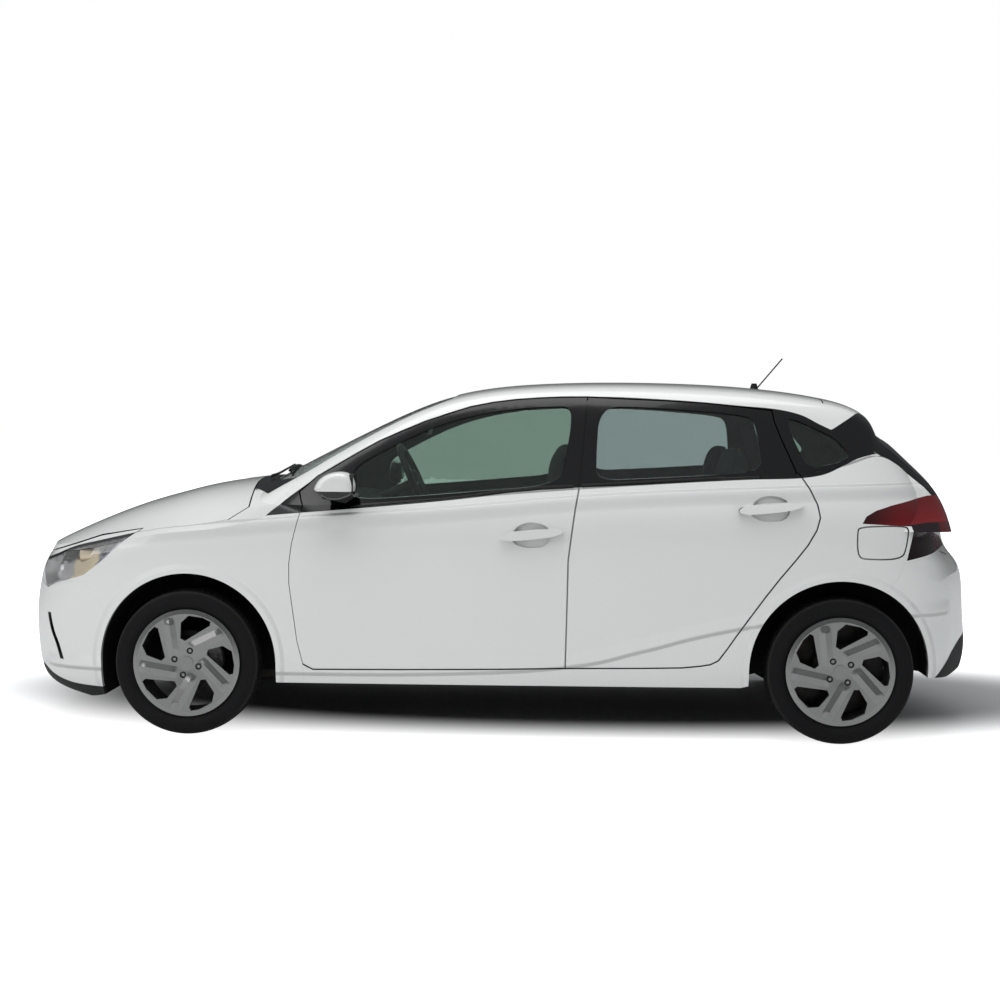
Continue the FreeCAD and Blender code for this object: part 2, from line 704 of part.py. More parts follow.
# Doors and side windows.
front_window = left_prism(FRONT_WINDOW_SHARES, 0, 2)
rear_window = left_prism(REAR_WINDOW_SHARES, 0, 2)
quarter_window = left_prism(QUARTER_WINDOW_SHARES, 0, 2)
front_door = door(FRONT_DOOR_SHARES, front_window, (0, 0))
rear_door = door(REAR_DOOR_SHARES, rear_window, REAR_HANDLE_SHARES)
panel("front_door_left", front_door)
panel("front_door_right", mirrored(front_door))
panel("rear_door_left", rear_door)
panel("rear_door_right", mirrored(rear_door))
front_glass = solids_of(glass_layer.common(left_prism(FRONT_WINDOW_SHARES, SEAT, 2)))
rear_glass = solids_of(glass_layer.common(left_prism(REAR_WINDOW_SHARES, SEAT, 2)))
quarter_glass = solids_of(glass_layer.common(left_prism(QUARTER_WINDOW_SHARES, SEAT, 2)))
panel("front_door_glass_left", front_glass)
panel("front_door_glass_right", mirrored(front_glass))
panel("rear_door_glass_left", rear_glass)
panel("rear_door_glass_right", mirrored(rear_glass))
panel("quarter_glass", both(quarter_glass))

# Headlamps: a clear lens over a walled unit with two reflectors.
LAMP_INNER_SHARE = 0.50
lens = size("lens")
lamp_wall = size("lamp_wall")
lamp_depth = size("lamp_depth")
lamp_region = left_prism(HEADLAMP_SHARES, 0, 0, wide(LAMP_INNER_SHARE))
lamp_opening = left_prism(HEADLAMP_SHARES, -PANEL, 0, wide(LAMP_INNER_SHARE) - PANEL)
headlamp = solids_of(left_outline.common(lamp_region).cut([hull(lens, lens), arches]))
panel("headlamps", both(headlamp))
lamp_space = left_prism(HEADLAMP_SHARES, lamp_wall, 0, wide(LAMP_INNER_SHARE) + lamp_wall)
lamp_back = hull(lamp_depth, lamp_depth)
lamp_block = hull(lens + SEAT, lens + SEAT).common(lamp_region).cut(lamp_back)
lamp_hollow = lamp_space.cut(hull(lamp_depth - lamp_wall, lamp_depth - lamp_wall))
REFLECTOR_SHARES = ((-0.72, 0.700, 0.462), (-0.60, 0.800, 0.492))
reflectors = []
for station, half, height in REFLECTOR_SHARES:
    start = Vector(along(station), -wide(half), rise(height))
    bowl = Part.makeCylinder(size("reflector_radius"), lamp_depth * 2, start, AHEAD)
    cone = Part.makeCone(size("reflector_radius") - lens, lens, lamp_depth, start, AHEAD)
    reflectors.append(bowl.cut(cone))
bowls = lamp_block.common(reflectors[0].fuse(reflectors[1]))
panel("headlamp_units", both(solids_of(lamp_block.cut(lamp_hollow).fuse(bowls))))

# Bonnet, wings, bumpers and the rest of the left outer skin.
NOSE_SHARES = (-0.72, 0.60)
nose_block = block(Vector(-FAR, -wide(NOSE_SHARES[1]), 0), Vector(along(NOSE_SHARES[0]), 0, HEIGHT))
bumper_region = left_prism(FRONT_BUMPER_SHARES)
bonnet_clear = plan_prism(BONNET_PLAN_SHARES, -SHUT)
bonnet_stop = left_prism(FRONT_BUMPER_SHARES, -SHUT)
lamp_clear = left_prism(HEADLAMP_SHARES, -SHUT, 0, wide(LAMP_INNER_SHARE) - SHUT)
grille_opening = rear_prism(GRILLE_SHARES, 0, along(GRILLE_REACH_SHARES[0]), along(GRILLE_REACH_SHARES[1]))
bonnet = outer_layer.common(plan_prism(BONNET_PLAN_SHARES)).cut([bonnet_stop, lamp_clear])
panel("bonnet", full(solids_of(bonnet)))
nose_top = outer_layer.common(nose_block).cut(bonnet_clear)
corner_slot = left_prism(BUMPER_SLOT_SHARES).cut(lower_solid(size("slot_depth")))
front_bumper = outer_layer.common(bumper_region).fuse(nose_top).cut([lamp_opening, grille_opening, corner_slot])
panel("front_bumper", full(solids_of(front_bumper.removeSplitter())))
slats = []
grille_low = rise(GRILLE_SHARES[1][1])
grille_high = rise(GRILLE_SHARES[5][1])
slat = size("slat_height")
level = grille_low + size("slat_pitch") / 2
while level < grille_high:
    slats.append(block(Vector(-FAR, -HALF_WIDTH, level), Vector(0, HALF_WIDTH, level + slat)))
    level += size("slat_pitch")
for half in POST_SHARES:
    slats.append(block(Vector(-FAR, wide(half) - slat / 2, 0), Vector(0, wide(half) + slat / 2, grille_high)))
grille_space = rear_prism(GRILLE_SHARES, SEAT, along(GRILLE_REACH_SHARES[0]), along(GRILLE_REACH_SHARES[1]))
grille = full(outer_layer.common(grille_space)).common(slats[0].fuse(slats[1:]))
panel("front_grille", solids_of(grille))
bumper_clear = left_prism(FRONT_BUMPER_SHARES, -PANEL).fuse(nose_block)
cowl_clear = plan_prism(COWL_PLAN_SHARES, -SEAT)
wing = outer_layer.common(left_prism(FENDER_SHARES)).cut([bumper_clear, lamp_opening, bonnet_clear, cowl_clear])
wing = solids_of(wing)
buffer_ring = plan_prism(BONNET_PLAN_SHARES, -SHUT * 2).cut(plan_prism(BONNET_PLAN_SHARES, -SEAT))
buffer_half = size("buffer_length") / 2
buffer_place = along(BUFFER_SHARE)
buffer_slice = block(Vector(buffer_place - buffer_half, -FAR, 0), Vector(buffer_place + buffer_half, 0, HEIGHT))
wing_buffer = LID_BACK.cut(INNER).common(buffer_ring.common(buffer_slice))
panel("front_wings", both(solids_of(wing.fuse(wing_buffer))))
cowl = solids_of(outer_layer.common(plan_prism(COWL_PLAN_SHARES)).cut(bonnet_clear))
panel("cowl", full(cowl))
screen = solids_of(glass_layer.common(LEFT).common(plan_prism(SCREEN_PLAN_SHARES, SEAT)))
panel("windscreen", full(screen))
screen_hole = plan_prism(SCREEN_PLAN_SHARES)
roof = solids_of(shell.common(plan_prism(ROOF_PLAN_SHARES)))
panel("roof", full(roof))
rear_bumper = solids_of(outer_layer.common(left_prism(REAR_BUMPER_SHARES)))
gate_buffer = block(
    Vector(along(GATE_BUFFER_SHARES[0]), -wide(GATE_BUFFER_SHARES[1]), rise(GATE_BUFFER_SHARES[2])),
    Vector(along(GATE_BUFFER_SHARES[0]) + size("buffer_width"), size("buffer_length") - wide(GATE_BUFFER_SHARES[1]), HEIGHT),
)
gate_buffer = gate_buffer.common(left_prism(REAR_BUMPER_SHARES, -SHUT + SEAT))
panel("rear_bumper", full(solids_of(rear_bumper.fuse(gate_buffer))))

# Tailgate, its glass and its lamp parts.
gate_start = along(TAILGATE_START_SHARE)
gate_end = along(GATE_END_SHARE)
gate_outer = rear_prism(TAILGATE_REAR_SHARES, SHUT / 2, gate_start + SHUT / 2, gate_end)
gate_core = rear_prism(TAILGATE_REAR_SHARES, SHUT / 2 + JAMB, gate_start + JAMB, gate_end)
bumper_top = left_prism(REAR_BUMPER_SHARES, -SHUT)
back_hole = rear_prism(BACK_WINDOW_SHARES, 0, along(GLASS_START_SHARE), gate_end)
gate_box = block(Vector(gate_start, -FAR, 0), Vector(along(CABIN_END_SHARE), 0, HEIGHT + OVER))
gate_hollow = CABIN.fuse(INNER.cut(gate_box))
gate_ring = gate_outer.cut(gate_core).common(LID_BACK)
gate_wall = left_outline.common(gate_outer).cut([gate_hollow, underside, gate_ring, bumper_top])
gate_lamp_inner = wide(GATE_LAMP_INNER_SHARE)
lamp_cut = left_prism(TAIL_LAMP_SHARES, -SEAT, 0, gate_lamp_inner - SEAT).cut(INNER)
gate_lamp = left_outline.common(gate_outer).common(left_prism(TAIL_LAMP_SHARES, 0, 0, gate_lamp_inner))
gate_lamp = gate_lamp.cut([LID_BACK, bumper_top])
gate_half = solids_of(gate_wall.cut(lamp_cut.cut(LID_BACK)))
tailgate = full(gate_half).cut(back_hole)
panel("tailgate", solids_of(tailgate))
panel("tailgate_lamps", both(solids_of(gate_lamp)))
back_glass = glass_layer.common(rear_prism(BACK_WINDOW_SHARES, SEAT, along(GLASS_START_SHARE), gate_end))
panel("tailgate_glass", solids_of(back_glass))
gate_clear = rear_prism(TAILGATE_REAR_SHARES, -SHUT / 2, gate_start - SHUT / 2, gate_end)
gate_jamb = rear_prism(TAILGATE_REAR_SHARES, JAMB - SHUT / 2, gate_start, gate_end)
tail_region = left_prism(TAIL_LAMP_SHARES)
tail_lamp = outer_layer.common(tail_region).cut([gate_clear, left_prism(REAR_BUMPER_SHARES, -PANEL)])
panel("tail_lamps", both(solids_of(tail_lamp)))

# Fuel flap in a recess with a small buffer behind it.
flap_depth = size("flap_depth")
flap_core = lower_solid(flap_depth)
fuel_flap = solids_of(left_outline.common(left_prism(FUEL_FLAP_SHARES, SHUT / 2, 2)).cut(flap_core))
panel("fuel_flap", fuel_flap)
flap_centre = Vector(along(FLAP_BUFFER_SHARES[0]), -FAR, rise(FLAP_BUFFER_SHARES[1]))
flap_buffer = Part.makeCylinder(size("buffer_width"), FAR, flap_centre, ACROSS)
flap_recess = left_prism(FUEL_FLAP_SHARES, -SHUT / 2, 2)
flap_hollow = flap_recess.cut([lower_solid(flap_depth + MOVING), flap_buffer])
flap_seat = flap_recess.common(flap_buffer).cut(lower_solid(flap_depth + SEAT))

# Left body side: sill, pillars, rear quarter and the frame behind the doors.
front_clear = left_prism(FRONT_DOOR_SHARES, -SHUT / 2)
rear_clear = left_prism(REAR_DOOR_SHARES, -SHUT / 2)
skin_cuts = front_clear.fuse([
    rear_clear, left_prism(FENDER_SHARES, -PANEL), cowl_clear, left_prism(REAR_BUMPER_SHARES, -SEAT), gate_clear,
    left_prism(TAIL_LAMP_SHARES, -SEAT),
]).cut(INNER)
side_cuts = (
    skin_cuts, left_prism(FRONT_DOOR_SHARES, JAMB - SHUT / 2), left_prism(REAR_DOOR_SHARES, JAMB - SHUT / 2), screen_hole,
    plan_prism(ROOF_PLAN_SHARES, -SEAT), gate_jamb, quarter_window, flap_hollow, flap_seat,
)
body_side = shell
for side_cut in side_cuts:
    body_side = body_side.cut(side_cut)
body_side = solids_of(body_side)
buffers = []
for edge, height in DOOR_BUFFER_SHARES:
    low = Vector(along(edge), -HALF_WIDTH - OVER, rise(height))
    high = Vector(along(edge) + size("buffer_width"), size("skin") * 2 - HALF_WIDTH, rise(height) + size("buffer_length"))
    buffers.append(block(low, high))
raised = LID_BACK.copy()
raised.translate(Vector(0, SEAT, 0))
body_side = solids_of(body_side.fuse(raised.common(buffers[0].fuse(buffers[1:]))))
panel("body_side_left", body_side)
panel("body_side_right", mirrored(body_side))

# Wheel housings, floor and bulkhead close the shell from below and in front.
slot = size("slot_gap")
arm_slot = block(
    Vector(FRONT_AXLE - size("arm_length") / 2 - slot, -HALF_WIDTH, 0),
    Vector(FRONT_AXLE + size("arm_length") / 2 + slot, 0, size("subframe_base") + size("arm_height") + slot),
)
beam_slot = block(
    Vector(REAR_AXLE - size("beam_radius") - slot, -HALF_WIDTH, 0),
    Vector(REAR_AXLE + size("beam_radius") + slot, 0, size("tyre_radius") + size("beam_radius") + slot),
)
liners = arches_grown.common(INNER).cut([arches, underside, arm_slot, beam_slot])
panel("wheel_housings", both(solids_of(liners)))
floor_low = size("floor_height")
plate = size("floor_plate")
split = along(FLOOR_SPLIT_SHARE)
rear_floor = rise(REAR_FLOOR_SHARE)
front_plate = block(Vector(along(BULKHEAD_SHARE), -FAR, floor_low), Vector(split, 0, floor_low + plate))
riser = block(Vector(split - plate, -FAR, floor_low), Vector(split, 0, rear_floor + plate))
rear_plate = block(Vector(split - plate, -FAR, rear_floor), Vector(along(CABIN_END_SHARE), 0, rear_floor + plate))
floor_half = CABIN.common(front_plate.fuse(riser).fuse(rear_plate)).cut(arches_grown)
panel("floor_pan", full(solids_of(floor_half)))
bulk_start = along(BULKHEAD_SHARE) - size("bulkhead")
bulk_plate = block(Vector(bulk_start, -FAR, floor_low), Vector(along(BULKHEAD_SHARE), 0, HEIGHT))
bulkhead = INNER.common(bulk_plate).cut([arches_grown, underside])
panel("bulkhead", full(solids_of(bulkhead)))

# Running gear and cabin fittings, from plain solids tied to the sheet.
FRONT_AXLE_TEXT = "(Sizes.front_overhang - Sizes.wheel_base - Sizes.rear_overhang) / 2"
REAR_AXLE_TEXT = "(Sizes.front_overhang + Sizes.wheel_base - Sizes.rear_overhang) / 2"


def placed(piece, place, turn=None):
    """Ties a piece's position to the sheet."""
    if turn is not None:
        piece.Placement = Placement(ORIGIN, turn)
    for axis_name, text in zip("xyz", place):
        piece.setExpression("Placement.Base." + axis_name, text)
    return piece


def cuboid(name, length, width, height, place, turn=None):
    """A box whose sizes are read from the sheet."""
    piece = doc.addObject("Part::Box", name)
    piece.setExpression("Length", length)
    piece.setExpression("Width", width)
    piece.setExpression("Height", height)
    return placed(piece, place, turn)


def rod(name, radius, length, place, turn=None):
    """A cylinder whose sizes are read from the sheet."""
    piece = doc.addObject("Part::Cylinder", name)
    piece.setExpression("Radius", radius)
    piece.setExpression("Height", length)
    return placed(piece, place, turn)


def joined(label, members):
    """Touching solids made into one."""
    piece = doc.addObject("Part::MultiFuse", label)
    piece.Shapes = members
    piece.Label = label
    PIECES.append(piece)
    return piece


def together(label, members):
    """Separate solids kept as one piece."""
    piece = doc.addObject("Part::Compound", label)
    piece.Links = members
    piece.Label = label
    PIECES.append(piece)
    return piece


HALF_CIRCLE = 180
FULL_CIRCLE = 2 * HALF_CIRCLE
LIE_ACROSS = Rotation(AHEAD, -HALF_CIRCLE / 2)
LIE_ALONG = Rotation(ACROSS, HALF_CIRCLE / 2)

SUBFRAME_TOP = "Sizes.subframe_base + Sizes.subframe_height + Sizes.seat_gap"
SUBFRAME_LENGTH = "Sizes.subframe_ahead + %g * Sizes.wheel_base - Sizes.bulkhead - Sizes.seat_gap" % BULKHEAD_SHARE
engine = cuboid("engine_block", "Sizes.engine_length", "Sizes.engine_width", "Sizes.engine_height",
                ("-Sizes.engine_start", "-Sizes.engine_width / 2", SUBFRAME_TOP))
PIECES.append(engine)
radiator = cuboid("radiator", "Sizes.radiator_depth", "Sizes.radiator_width", "Sizes.radiator_height",
                  ("-Sizes.radiator_start", "-Sizes.radiator_width / 2", SUBFRAME_TOP))
PIECES.append(radiator)
subframe = cuboid("subframe_box", SUBFRAME_LENGTH, "Sizes.subframe_width", "Sizes.subframe_height",
                  (FRONT_AXLE_TEXT + " - Sizes.subframe_ahead", "-Sizes.subframe_width / 2", "Sizes.subframe_base"))
arms = cuboid("front_arms", "Sizes.arm_length", "2 * Sizes.arm_reach", "Sizes.arm_height",
              (FRONT_AXLE_TEXT + " - Sizes.arm_length / 2", "-Sizes.arm_reach", "Sizes.subframe_base"))
joined("front_subframe", [subframe, arms])
STRUT_FOOT = "Sizes.tyre_radius + Sizes.bracket_rise + Sizes.bracket_height + Sizes.hub_play"
STRUT_LENGTH = "Sizes.tyre_radius + Sizes.arch_gap - Sizes.bracket_rise - Sizes.bracket_height - Sizes.strut_drop"
struts = []
for side, name in (("-", "left"), ("", "right")):
    struts.append(rod("strut_" + name, "Sizes.strut_radius", STRUT_LENGTH,
                      (FRONT_AXLE_TEXT, side + "Sizes.strut_place", STRUT_FOOT)))
together("front_struts", struts)
BEAM_HALF = "(Sizes.wheel_offset - Sizes.tyre_width / 2 - Sizes.disc_gap)"
beam = rod("beam_tube", "Sizes.beam_radius", "2 * " + BEAM_HALF,
           (REAR_AXLE_TEXT, "-" + BEAM_HALF, "Sizes.tyre_radius"), LIE_ACROSS)
trails = []
for side, name in ((-1, "left"), (1, "right")):
    trails.append(cuboid("trail_" + name, "Sizes.trail_length", "Sizes.trail_width", "Sizes.trail_height", (
        REAR_AXLE_TEXT + " - Sizes.trail_length",
        "%d * Sizes.trail_place - Sizes.trail_width / 2" % side,
        "Sizes.tyre_radius - Sizes.trail_height / 2",
    )))
joined("rear_axle", [beam] + trails)
tank = cuboid("fuel_tank", "Sizes.tank_length", "Sizes.tank_width", "Sizes.tank_height",
              ("Sizes.tank_start", "-Sizes.tank_width / 2", "Sizes.tank_base"))
PIECES.append(tank)
pipe = rod("exhaust_pipe", "Sizes.pipe_radius", "Sizes.pipe_length",
           ("-Sizes.pipe_start", "Sizes.pipe_place", "Sizes.pipe_height"), LIE_ALONG)
muffler = rod("exhaust_muffler", "Sizes.muffler_radius", "Sizes.muffler_length", (
    "Sizes.pipe_length - Sizes.pipe_start",
    "Sizes.pipe_place - Sizes.muffler_length / 2",
    "Sizes.pipe_height + Sizes.muffler_radius / 2",
), LIE_ACROSS)
joined("exhaust", [pipe, muffler])

DASH_SHARES = (
    (0.0, 0.15), (0.0, 0.80), (0.03, 0.90), (0.12, 0.97), (0.30, 1.0), (0.50, 1.0), (0.70, 0.97), (0.86, 0.89),
    (0.96, 0.78), (1.0, 0.68), (1.0, 0.58), (0.96, 0.50), (0.90, 0.43), (0.84, 0.25), (0.80, 0.10), (0.76, 0.03),
    (0.68, 0.0), (0.10, 0.0), (0.03, 0.04),
)


def profile(name, shares, corner, spans, low, high, soft):
    """A side outline in shares of its own length and height, carried across the car."""
    points = [(corner[0] + u * spans[0], corner[1] + v * spans[1]) for u, v in shares]
    piece = doc.addObject("Part::Feature", name)
    piece.Shape = prism(points, low, high, ACROSS, soft)
    piece.Placement = Placement(ORIGIN, Rotation())
    return piece


dash_half = size("dash_width") / 2
dash_corner = (-size("dash_start"), size("dash_base"))
dash = profile("dash_box", DASH_SHARES, dash_corner, (size("dash_depth"), size("dash_height")), -dash_half, dash_half, 0)
console = cuboid("console_box", "Sizes.console_length", "Sizes.console_width", "Sizes.dash_base", (
    "-Sizes.dash_start + Sizes.dash_depth / 4", "-Sizes.console_width / 2", "Sizes.floor_height + Sizes.floor_plate",
))
dash_whole = doc.addObject("Part::MultiFuse", "dash_whole")
dash_whole.Shapes = [dash, console]
COLUMN_TURN = Rotation(ACROSS, HALF_CIRCLE + size("column_lean"))
bore = rod("column_bore", "Sizes.column_radius + Sizes.hub_play", "Sizes.column_length * 2",
           ("-Sizes.steering_start", "Sizes.steering_place", "Sizes.steering_height"), COLUMN_TURN)
dashboard = doc.addObject("Part::Cut", "dashboard")
dashboard.Base = dash_whole
dashboard.Tool = bore
PIECES.append(dashboard)


SEAT_SHARES = (
    (0.05, 0.0), (0.0, 0.20), (0.0, 0.36), (0.06, 0.43), (0.30, 0.43), (0.58, 0.38), (0.68, 0.40), (0.74, 0.55), (0.82, 0.80),
    (0.88, 0.97), (0.95, 1.01), (1.06, 1.0), (1.11, 0.94), (1.05, 0.60), (1.0, 0.30), (0.98, 0.0),
)
HEAD_SHARES = ((0.91, 0.96), (0.87, 1.06), (0.88, 1.18), (0.93, 1.27), (1.02, 1.28), (1.08, 1.20), (1.07, 1.06), (1.03, 0.96))
seat_floor = size("floor_height") + size("floor_plate")
seat_spans = (size("cushion_length"), size("cushion_base") + size("back_height") - seat_floor)


def seat(name, start, place, width, heads):
    """Cushion and leaning back in one profile, with its head restraints."""
    corner = (start, seat_floor)
    members = [profile(name + "_body", SEAT_SHARES, corner, seat_spans, place - width / 2, place + width / 2, 3)]
    half = size("head_width") / 2
    for number, head_place in enumerate(heads):
        members.append(profile("%s_head_%d" % (name, number), HEAD_SHARES, corner, seat_spans,
                               head_place - half, head_place + half, 3))
    joined(name + "_whole", members).Label = name


for side, name in ((-1, "front_seat_left"), (1, "front_seat_right")):
    place = side * size("seat_place")
    seat(name, -size("front_seat_start"), place, size("cushion_width"), [place])
seat("rear_seat", size("rear_seat_start"), 0, size("bench_width"), [-size("seat_place"), size("seat_place")])

# Flat jacking pads under the floor, near the sills.
pads = []
for number, (start, side) in enumerate((
    ("-Sizes.pad_front", "-"), ("-Sizes.pad_front", ""), ("Sizes.pad_rear", "-"), ("Sizes.pad_rear", ""),
)):
    pads.append(cuboid("jack_pad_%d" % number, "Sizes.pad_length", "Sizes.pad_width", "Sizes.pad_height", (
        start + " - Sizes.pad_length / 2", side + "Sizes.pad_place - Sizes.pad_width / 2",
        "Sizes.floor_height - Sizes.pad_height",
    )))
together("jack_pads", pads)

# Steering wheel, column and whip antenna.
tilt = Rotation(ACROSS, size("column_lean"))
ring = doc.addObject("Part::Torus", "steering_rim")
ring.setExpression("Radius1", "Sizes.steering_ring")
ring.setExpression("Radius2", "Sizes.steering_grip")
placed(ring, ("-Sizes.steering_start", "Sizes.steering_place", "Sizes.steering_height"), tilt)
column = rod("steering_column", "Sizes.column_radius", "Sizes.column_length",
             ("-Sizes.steering_start", "Sizes.steering_place", "Sizes.steering_height"), COLUMN_TURN)
bar = cuboid("steering_bar", "Sizes.steering_grip", "2 * Sizes.steering_ring - Sizes.steering_grip", "Sizes.steering_grip", (
    "-Sizes.steering_start", "Sizes.steering_place - Sizes.steering_ring + Sizes.steering_grip / 2",
    "Sizes.steering_height",
), tilt)
joined("steering_wheel", [ring, bar, column])
roof_line = house(0)
roof_line.translate(Vector(0, 0, SEAT))
foot_start = Vector(size("antenna_place"), 0, HEIGHT - size("antenna_base_height"))
foot = Part.makeCone(size("antenna_base_radius"), size("antenna_base_radius") / 2, size("antenna_base_height"), foot_start)
lean = Rotation(ACROSS, size("antenna_lean")).multVec(UP)
mast = Part.makeCylinder(size("antenna_radius"), size("antenna_length"), foot_start, lean)
panel("antenna", solids_of(mast.fuse(foot).cut(roof_line)))


# Wheels: a turned tyre, a turned rim with five swirled openings, and a brake disc.
def outline_sketch(body, name, plane_role, points):
    """A closed sketch whose corners are tied to the sheet."""
    sketch = body.newObject("Sketcher::SketchObject", name)
    plane = [item for item in body.Origin.OriginFeatures if item.Role == plane_role][0]
    sketch.AttachmentSupport = [(plane, "")]
    sketch.MapMode = "FlatFace"
    count = len(points)
    for i in range(count):
        start = Vector(i + 1, (i * i) % 7 + 1, 0)
        end = Vector((i + 1) % count + 1, (((i + 1) % count) ** 2) % 7 + 1, 0)
        sketch.addGeometry(Part.LineSegment(start, end), False)
    for i in range(count):
        sketch.addConstraint(Sketcher.Constraint("Coincident", i, 2, (i + 1) % count, 1))
    for i, (across_text, up_text) in enumerate(points):
        for kind, text in (("DistanceX", across_text), ("DistanceY", up_text)):
            number = sketch.addConstraint(Sketcher.Constraint(kind, -1, 1, i, 1, 1.0))
            sketch.setExpression("Constraints[%d]" % number, text)
    return sketch


def axis_of(body, role):
    """One of a body's own axes."""
    return [item for item in body.Origin.OriginFeatures if item.Role == role][0]


def turned(body, name, points):
    """A ring made by turning a profile about the wheel's axle."""
    sketch = outline_sketch(body, name + "_profile", "YZ_Plane", points)
    ring_feature = body.newObject("PartDesign::Revolution", name)
    ring_feature.Profile = sketch
    ring_feature.ReferenceAxis = (axis_of(body, "Y_Axis"), [""])
    ring_feature.Angle = FULL_CIRCLE
    return ring_feature


TYRE_SHARES = ((-0.36, 0.0), (-0.405, 0.0), (-0.42, 0.12), (-0.50, 0.42), (-0.485, 0.74), (-0.44, 0.90), (-0.36, 0.98),
               (-0.28, 1.0), (0.28, 1.0), (0.36, 0.98), (0.44, 0.90), (0.485, 0.74), (0.50, 0.42), (0.42, 0.12),
               (0.405, 0.0), (0.36, 0.0))
OPENING_SHARES = ((-0.102, 0.752), (0.044, 0.886), (0.311, 0.849), (0.457, 0.776), (0.445, 0.703), (0.287, 0.606),
                  (-0.029, 0.411), (-0.114, 0.460))
TYRE_POINTS = [("%g * Sizes.tyre_width" % across, "Sizes.bead_radius + %g * (Sizes.tyre_radius - Sizes.bead_radius)" % radial)
               for across, radial in TYRE_SHARES]
RIM_POINTS = (
    ("-0.455 * Sizes.tyre_width", "0"), ("-0.455 * Sizes.tyre_width", "Sizes.cap_radius"),
    ("-0.44 * Sizes.tyre_width", "Sizes.cap_radius"), ("-0.44 * Sizes.tyre_width", "Sizes.hub_radius"),
    ("-0.46 * Sizes.tyre_width", "0.5 * Sizes.rim_flange"), ("-0.475 * Sizes.tyre_width", "0.92 * Sizes.rim_flange"),
    ("-0.46 * Sizes.tyre_width", "Sizes.rim_flange"), ("-0.425 * Sizes.tyre_width", "Sizes.rim_flange"),
    ("-0.42 * Sizes.tyre_width", "Sizes.bead_radius - Sizes.hub_play"),
    ("0.38 * Sizes.tyre_width", "Sizes.bead_radius - Sizes.hub_play"),
    ("0.38 * Sizes.tyre_width", "Sizes.bead_radius - Sizes.rim_wall"),
    ("-0.38 * Sizes.tyre_width", "Sizes.bead_radius - Sizes.rim_wall"),
    ("-0.37 * Sizes.tyre_width", "0.5 * Sizes.rim_flange"), ("-0.30 * Sizes.tyre_width", "Sizes.hub_radius * 1.4"),
)
FRONT_BOSS = "Sizes.wheel_offset - Sizes.steer_axis - Sizes.carrier_depth / 2 - Sizes.hub_play"
REAR_BOSS = "Sizes.tyre_width / 2 + Sizes.disc_gap - Sizes.hub_play"


# One spoke's raised fold: two points at the hub, two at the rim and two along the ridge, as shares of
# the flange radius, then the depth of each as a share of the tyre width.
BLADE_SHARES = (
    (-0.035, 0.375, 0.446), (0.470, 0.692, 0.466), (0.690, 0.375, 0.466), (0.350, 0.245, 0.446),
    (0.150, 0.340, 0.466), (0.600, 0.560, 0.500),
)
BLADE_FACES = ((0, 1, 5), (0, 5, 4), (1, 2, 5), (2, 3, 4), (2, 4, 5), (3, 0, 4), (0, 3, 2), (0, 2, 1))
SPOKES = 5
NUTS = 4
NUT_PHASE = -16
FACE_SHARE = 0.44


def blade():
    """A low folded wedge that lies along one spoke."""
    flange = size("rim_flange")
    corners = [Vector(x * flange, -depth * size("tyre_width"), z * flange) for x, z, depth in BLADE_SHARES]
    faces = []
    for numbers in BLADE_FACES:
        ends = [corners[number] for number in numbers]
        faces.append(Part.Face(Part.makePolygon(ends + ends[:1])))
    solid = Part.makeSolid(Part.makeShell(faces))
    if solid.Volume < 0:
        solid.reverse()
    return solid


def ring_of(shape, count, phase):
    """Copies of a shape set evenly round the wheel's axle."""
    copies = []
    for number in range(count):
        copy = shape.copy()
        copy.rotate(ORIGIN, ACROSS, -phase - number * FULL_CIRCLE / count)
        copies.append(copy)
    return Part.makeCompound(copies)


face_depth = FACE_SHARE * size("tyre_width")
well_floor = Vector(size("nut_circle"), -face_depth + size("nut_depth"), 0)
well = Part.makeCylinder(size("nut_well"), face_depth, well_floor, -ACROSS)
nut = Part.makeCylinder(size("nut_radius"), size("nut_depth"), well_floor, -ACROSS)
wells = ring_of(well, NUTS, NUT_PHASE)
face_parts = Part.makeCompound(ring_of(blade(), SPOKES, 0).Solids + ring_of(nut, NUTS, NUT_PHASE).Solids)


def wheel(label, axle_text, side_text, turn, boss):
    """Tyre and rim of one wheel, with a boss back to its bearing."""
    place = (axle_text, side_text + "Sizes.wheel_offset", "Sizes.tyre_radius")
    tyre = doc.addObject("PartDesign::Body", "tyre_" + label)
    turned(tyre, "tyre_ring_" + label, TYRE_POINTS)
    rim = doc.addObject("PartDesign::Body", "rim_" + label)
    turned(rim, "rim_ring_" + label, RIM_POINTS + ((boss, "Sizes.hub_radius"), (boss, "0")))
    corners = [("%g * Sizes.rim_flange" % across, "%g * Sizes.rim_flange" % up) for across, up in OPENING_SHARES]
    sketch = outline_sketch(rim, "opening_outline_" + label, "XZ_Plane", corners)
    opening = rim.newObject("PartDesign::Pocket", "opening_" + label)
    opening.Profile = sketch
    opening.Type = "ThroughAll"
    opening.Midplane = True
    pattern = rim.newObject("PartDesign::PolarPattern", "openings_" + label)
    pattern.Originals = [opening]
    pattern.Axis = (axis_of(rim, "Y_Axis"), [""])
    pattern.Angle = FULL_CIRCLE
    pattern.Occurrences = SPOKES
    rim.Tip = pattern
    nut_wells = doc.addObject("Part::Feature", "nut_wells_" + label)
    nut_wells.Shape = wells
    spokes = doc.addObject("Part::Feature", "spokes_" + label)
    spokes.Shape = face_parts
    for piece in (tyre, rim, nut_wells, spokes):
        placed(piece, place, turn)
    PIECES.append(tyre)
    bored = doc.addObject("Part::Cut", "bored_" + label)
    bored.Base = rim
    bored.Tool = nut_wells
    joined("wheel_" + label, [bored, spokes])


